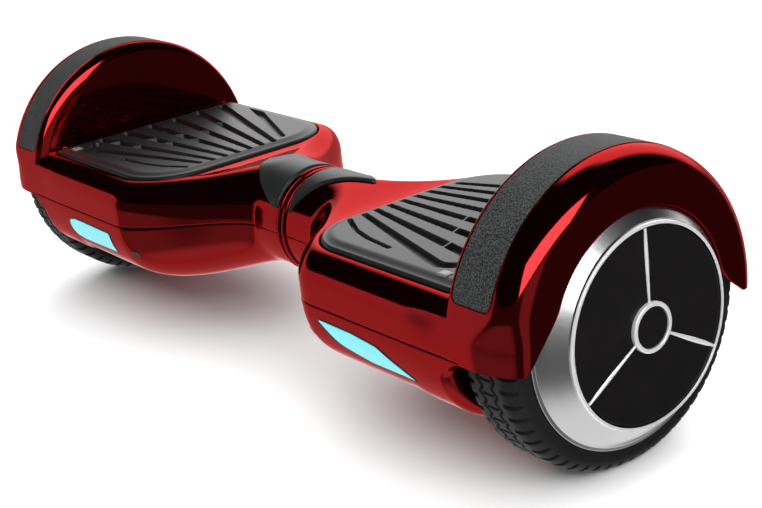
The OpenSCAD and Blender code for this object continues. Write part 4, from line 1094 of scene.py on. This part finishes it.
for side in ("left", "right"):
    left = side == "left"
    half, wheel, mat = side + "_half", side + "_wheel", side + "_mat"
    piece(side + "_shell_skin", upper_skin(), RED, half, [side + "_upper_shell"], left, WALL,
          up=(0, 0, 1))
    piece(side + "_fender", fender_skin() + strip_lip() + collar(True), RED, half, (), left)
    piece(side + "_belly_skin", lower_skin(left), RED, half, [side + "_lower_shell"], left, WALL,
          up=(0, 0, -1))
    piece(side + "_belly_collar", collar(False), RED, half, (), left)
    piece(side + "_lens", lens(left), LENS, half, [side + "_headlight_lens"], left)
    piece(side + "_lens_groove_shade", lens_groove_shade(left), SHADE_BLACK, half, (), left)
    piece(side + "_screw_hole_shades", screw_hole_shades(), SHADE_BLACK, half, (), left)
    piece(side + "_grip", strip_skin(), GRIT, half, [side + "_grip_strip"], left)
    piece(side + "_cover", neck_cover_skin(side), COVER_BLACK, half, [side + "_neck_cover"],
          left)
    piece(side + "_mat", mat_skin(), MAT_RUBBER, mat, [side + "_foot_mat"], left, sharp=28)
    piece(side + "_mat_tab", mat_tab(), TAB_GREY, mat, (), left)
    piece(side + "_tread", tyre_skin(), TYRE_RUBBER, wheel, [side + "_tyre"], left, sharp=28)
    piece(side + "_rim", rim_skin(), POLISHED, wheel, [side + "_rotor"], left)
    piece(side + "_disc_ring", disc_ring_skin(), BRIGHT, wheel, (), left)
    piece(side + "_disc", disc_skin(), DISC_BLACK, wheel, [side + "_wheel_disc"], left)
    piece(side + "_spokes", spokes_skin(), BRIGHT, wheel, [side + "_wheel_trim"], left)
    piece(side + "_cap", cap_skin(), DISC_BLACK, wheel, [side + "_centre_cap"], left)


# ---------------------------------------------------------------- floor, light and camera

def studio_floor():
    """A round pale floor, wide enough to fill every view."""
    n = 96
    angle = np.linspace(0, 2 * math.pi, n, endpoint=False)
    ring = np.column_stack([6 * np.cos(angle), 6 * np.sin(angle), np.zeros(n)])
    mesh = bpy.data.meshes.new("floor")
    mesh.from_pydata(ring.tolist(), [], [list(range(n))])
    floor = bpy.data.objects.new("floor", mesh)
    bpy.context.scene.collection.objects.link(floor)
    mesh.materials.append(finish("floor_paint", (0.93, 0.93, 0.93), (0.95, 0.95, 0.95), (0.85, 0.95),
                                 bump=0.0, scale=30, specular=0.1))
    floor.visible_glossy = False


def placed(right, up, back, place):
    """World matrix of a lamp or a camera from its own three directions and its place."""
    rows = np.column_stack([np.vstack([right, up, back]).T, place]).tolist()
    return Matrix(rows + [[0, 0, 0, 1]])


def area_light(name, place, target, size, power, mirrored=True):
    """A rectangular studio light that faces its target, and may be left out of mirror reflections."""
    data = bpy.data.lights.new(name, "AREA")
    data.shape = "RECTANGLE"
    data.size, data.size_y = size
    data.energy = power
    lamp = bpy.data.objects.new(name, data)
    lamp.visible_glossy = mirrored
    bpy.context.scene.collection.objects.link(lamp)
    place, target = np.array(place, float), np.array(target, float)
    back = (place - target) / np.linalg.norm(place - target)
    right = np.cross([0, 0, 1], back)
    right = right / np.linalg.norm(right) if np.linalg.norm(right) > 1e-6 else np.array([1.0, 0, 0])
    up = np.cross(back, right)
    lamp.matrix_world = placed(right, up, back, place)


def studio_world():
    """Studio walls as seen in the lacquer: a bright backdrop behind the board, a pale wall and floor
    low down on the side away from the wheel, a grey card on the near side, and a dark upper room."""
    world = bpy.data.worlds.new("studio")
    bpy.context.scene.world = world
    world.use_nodes = True
    tree = world.node_tree
    shade = tree.nodes["Background"]

    def add(kind, inputs, **settings):
        """One world node's first output, with its settings made and its inputs set or linked."""
        node = tree.nodes.new(kind)
        for key, value in settings.items():
            setattr(node, key, value)
        for key, value in inputs.items():
            if isinstance(value, bpy.types.NodeSocket):
                tree.links.new(value, node.inputs[key])
            else:
                node.inputs[key].default_value = value
        return node.outputs[0]

    def step(value, low, high, start=0.0, end=1.0):
        """A soft change from start to end as the value goes from low to high."""
        return add("ShaderNodeMapRange", {"Value": value, "From Min": low, "From Max": high, "To Min": start,
                                          "To Max": end}, interpolation_type="SMOOTHSTEP")

    def combine(operation, a, b):
        """Two strengths joined by one sum."""
        return add("ShaderNodeMath", {0: a, 1: b}, operation=operation)

    direction = tree.nodes.new("ShaderNodeTexCoord").outputs["Generated"]
    high = tree.nodes.new("ShaderNodeSeparateXYZ")
    tree.links.new(direction, high.inputs["Vector"])
    high = high.outputs["Z"]
    level = add("ShaderNodeVectorMath", {0: direction, 1: (1, 1, 0)}, operation="MULTIPLY")
    level = add("ShaderNodeVectorMath", {0: level}, operation="NORMALIZE")

    def facing(degrees):
        """How squarely a direction looks towards a heading: 1 is straight at it."""
        angle = math.radians(degrees)
        node = tree.nodes.new("ShaderNodeVectorMath")
        node.operation = "DOT_PRODUCT"
        tree.links.new(level, node.inputs[0])
        node.inputs[1].default_value = (math.cos(angle), math.sin(angle), 0)
        return node.outputs["Value"]

    pale_side = step(facing(160), 0.25, 0.5, 0.07, 0.85)
    front_floor = combine("MULTIPLY", step(facing(230), 0.1, 0.5, 0.0, 0.36), step(high, -0.12, -0.3))
    card = step(facing(345), 0.93, 0.98, 0.0, 0.45)
    under = step(high, -0.6, -0.9, 0.0, 0.8)
    low_down = combine("MAXIMUM", combine("MAXIMUM", pale_side, card), combine("MAXIMUM", front_floor, under))
    low_down = combine("MULTIPLY", low_down, step(high, 0.24, 0.29, 1.0, 0.0))
    backdrop = combine("MULTIPLY", step(facing(125), 0.72, 0.92, 0.0, 2.1), step(high, -0.05, 0.15))
    backdrop = combine("MULTIPLY", backdrop, step(high, 0.8, 0.93, 1.0, 0.0))
    total = combine("MAXIMUM", combine("MAXIMUM", low_down, backdrop), 0.012)
    tree.links.new(total, shade.inputs["Strength"])
    shade.inputs["Color"].default_value = (1, 1, 1, 1)


def studio_camera():
    """Long lens from the front right, above the board, leaning a little."""
    place = np.array([0.82117, -0.54074, 0.41132])
    heading, tilt, lean = (math.radians(a) for a in (144.63, -19.855, -6.737))
    level = np.array([math.cos(heading), math.sin(heading)]) * math.cos(tilt)
    forward = np.append(level, math.sin(tilt))
    right = np.cross(forward, [0, 0, 1])
    right /= np.linalg.norm(right)
    up = np.cross(right, forward)
    right, up = (math.cos(lean) * right + math.sin(lean) * up,
                 -math.sin(lean) * right + math.cos(lean) * up)
    data = bpy.data.cameras.new("camera")
    data.sensor_width = 36.0
    data.sensor_fit = "HORIZONTAL"
    data.lens = 74.56
    data.clip_start = 0.01
    camera = bpy.data.objects.new("camera", data)
    bpy.context.scene.collection.objects.link(camera)
    camera.matrix_world = placed(right, up, -forward, place)
    bpy.context.scene.camera = camera


studio_camera()
studio_floor()
studio_world()
bpy.context.scene.view_settings.view_transform = "Standard"
area_light("top_light", (-0.3, 0.4, 3.0), (-0.3, 0.4, 0), (8.0, 8.0), 380, mirrored=False)
area_light("softbox", (1.62, -0.41, 0.95), (0.28, -0.05, 0.15), (1.85, 0.7), 20)
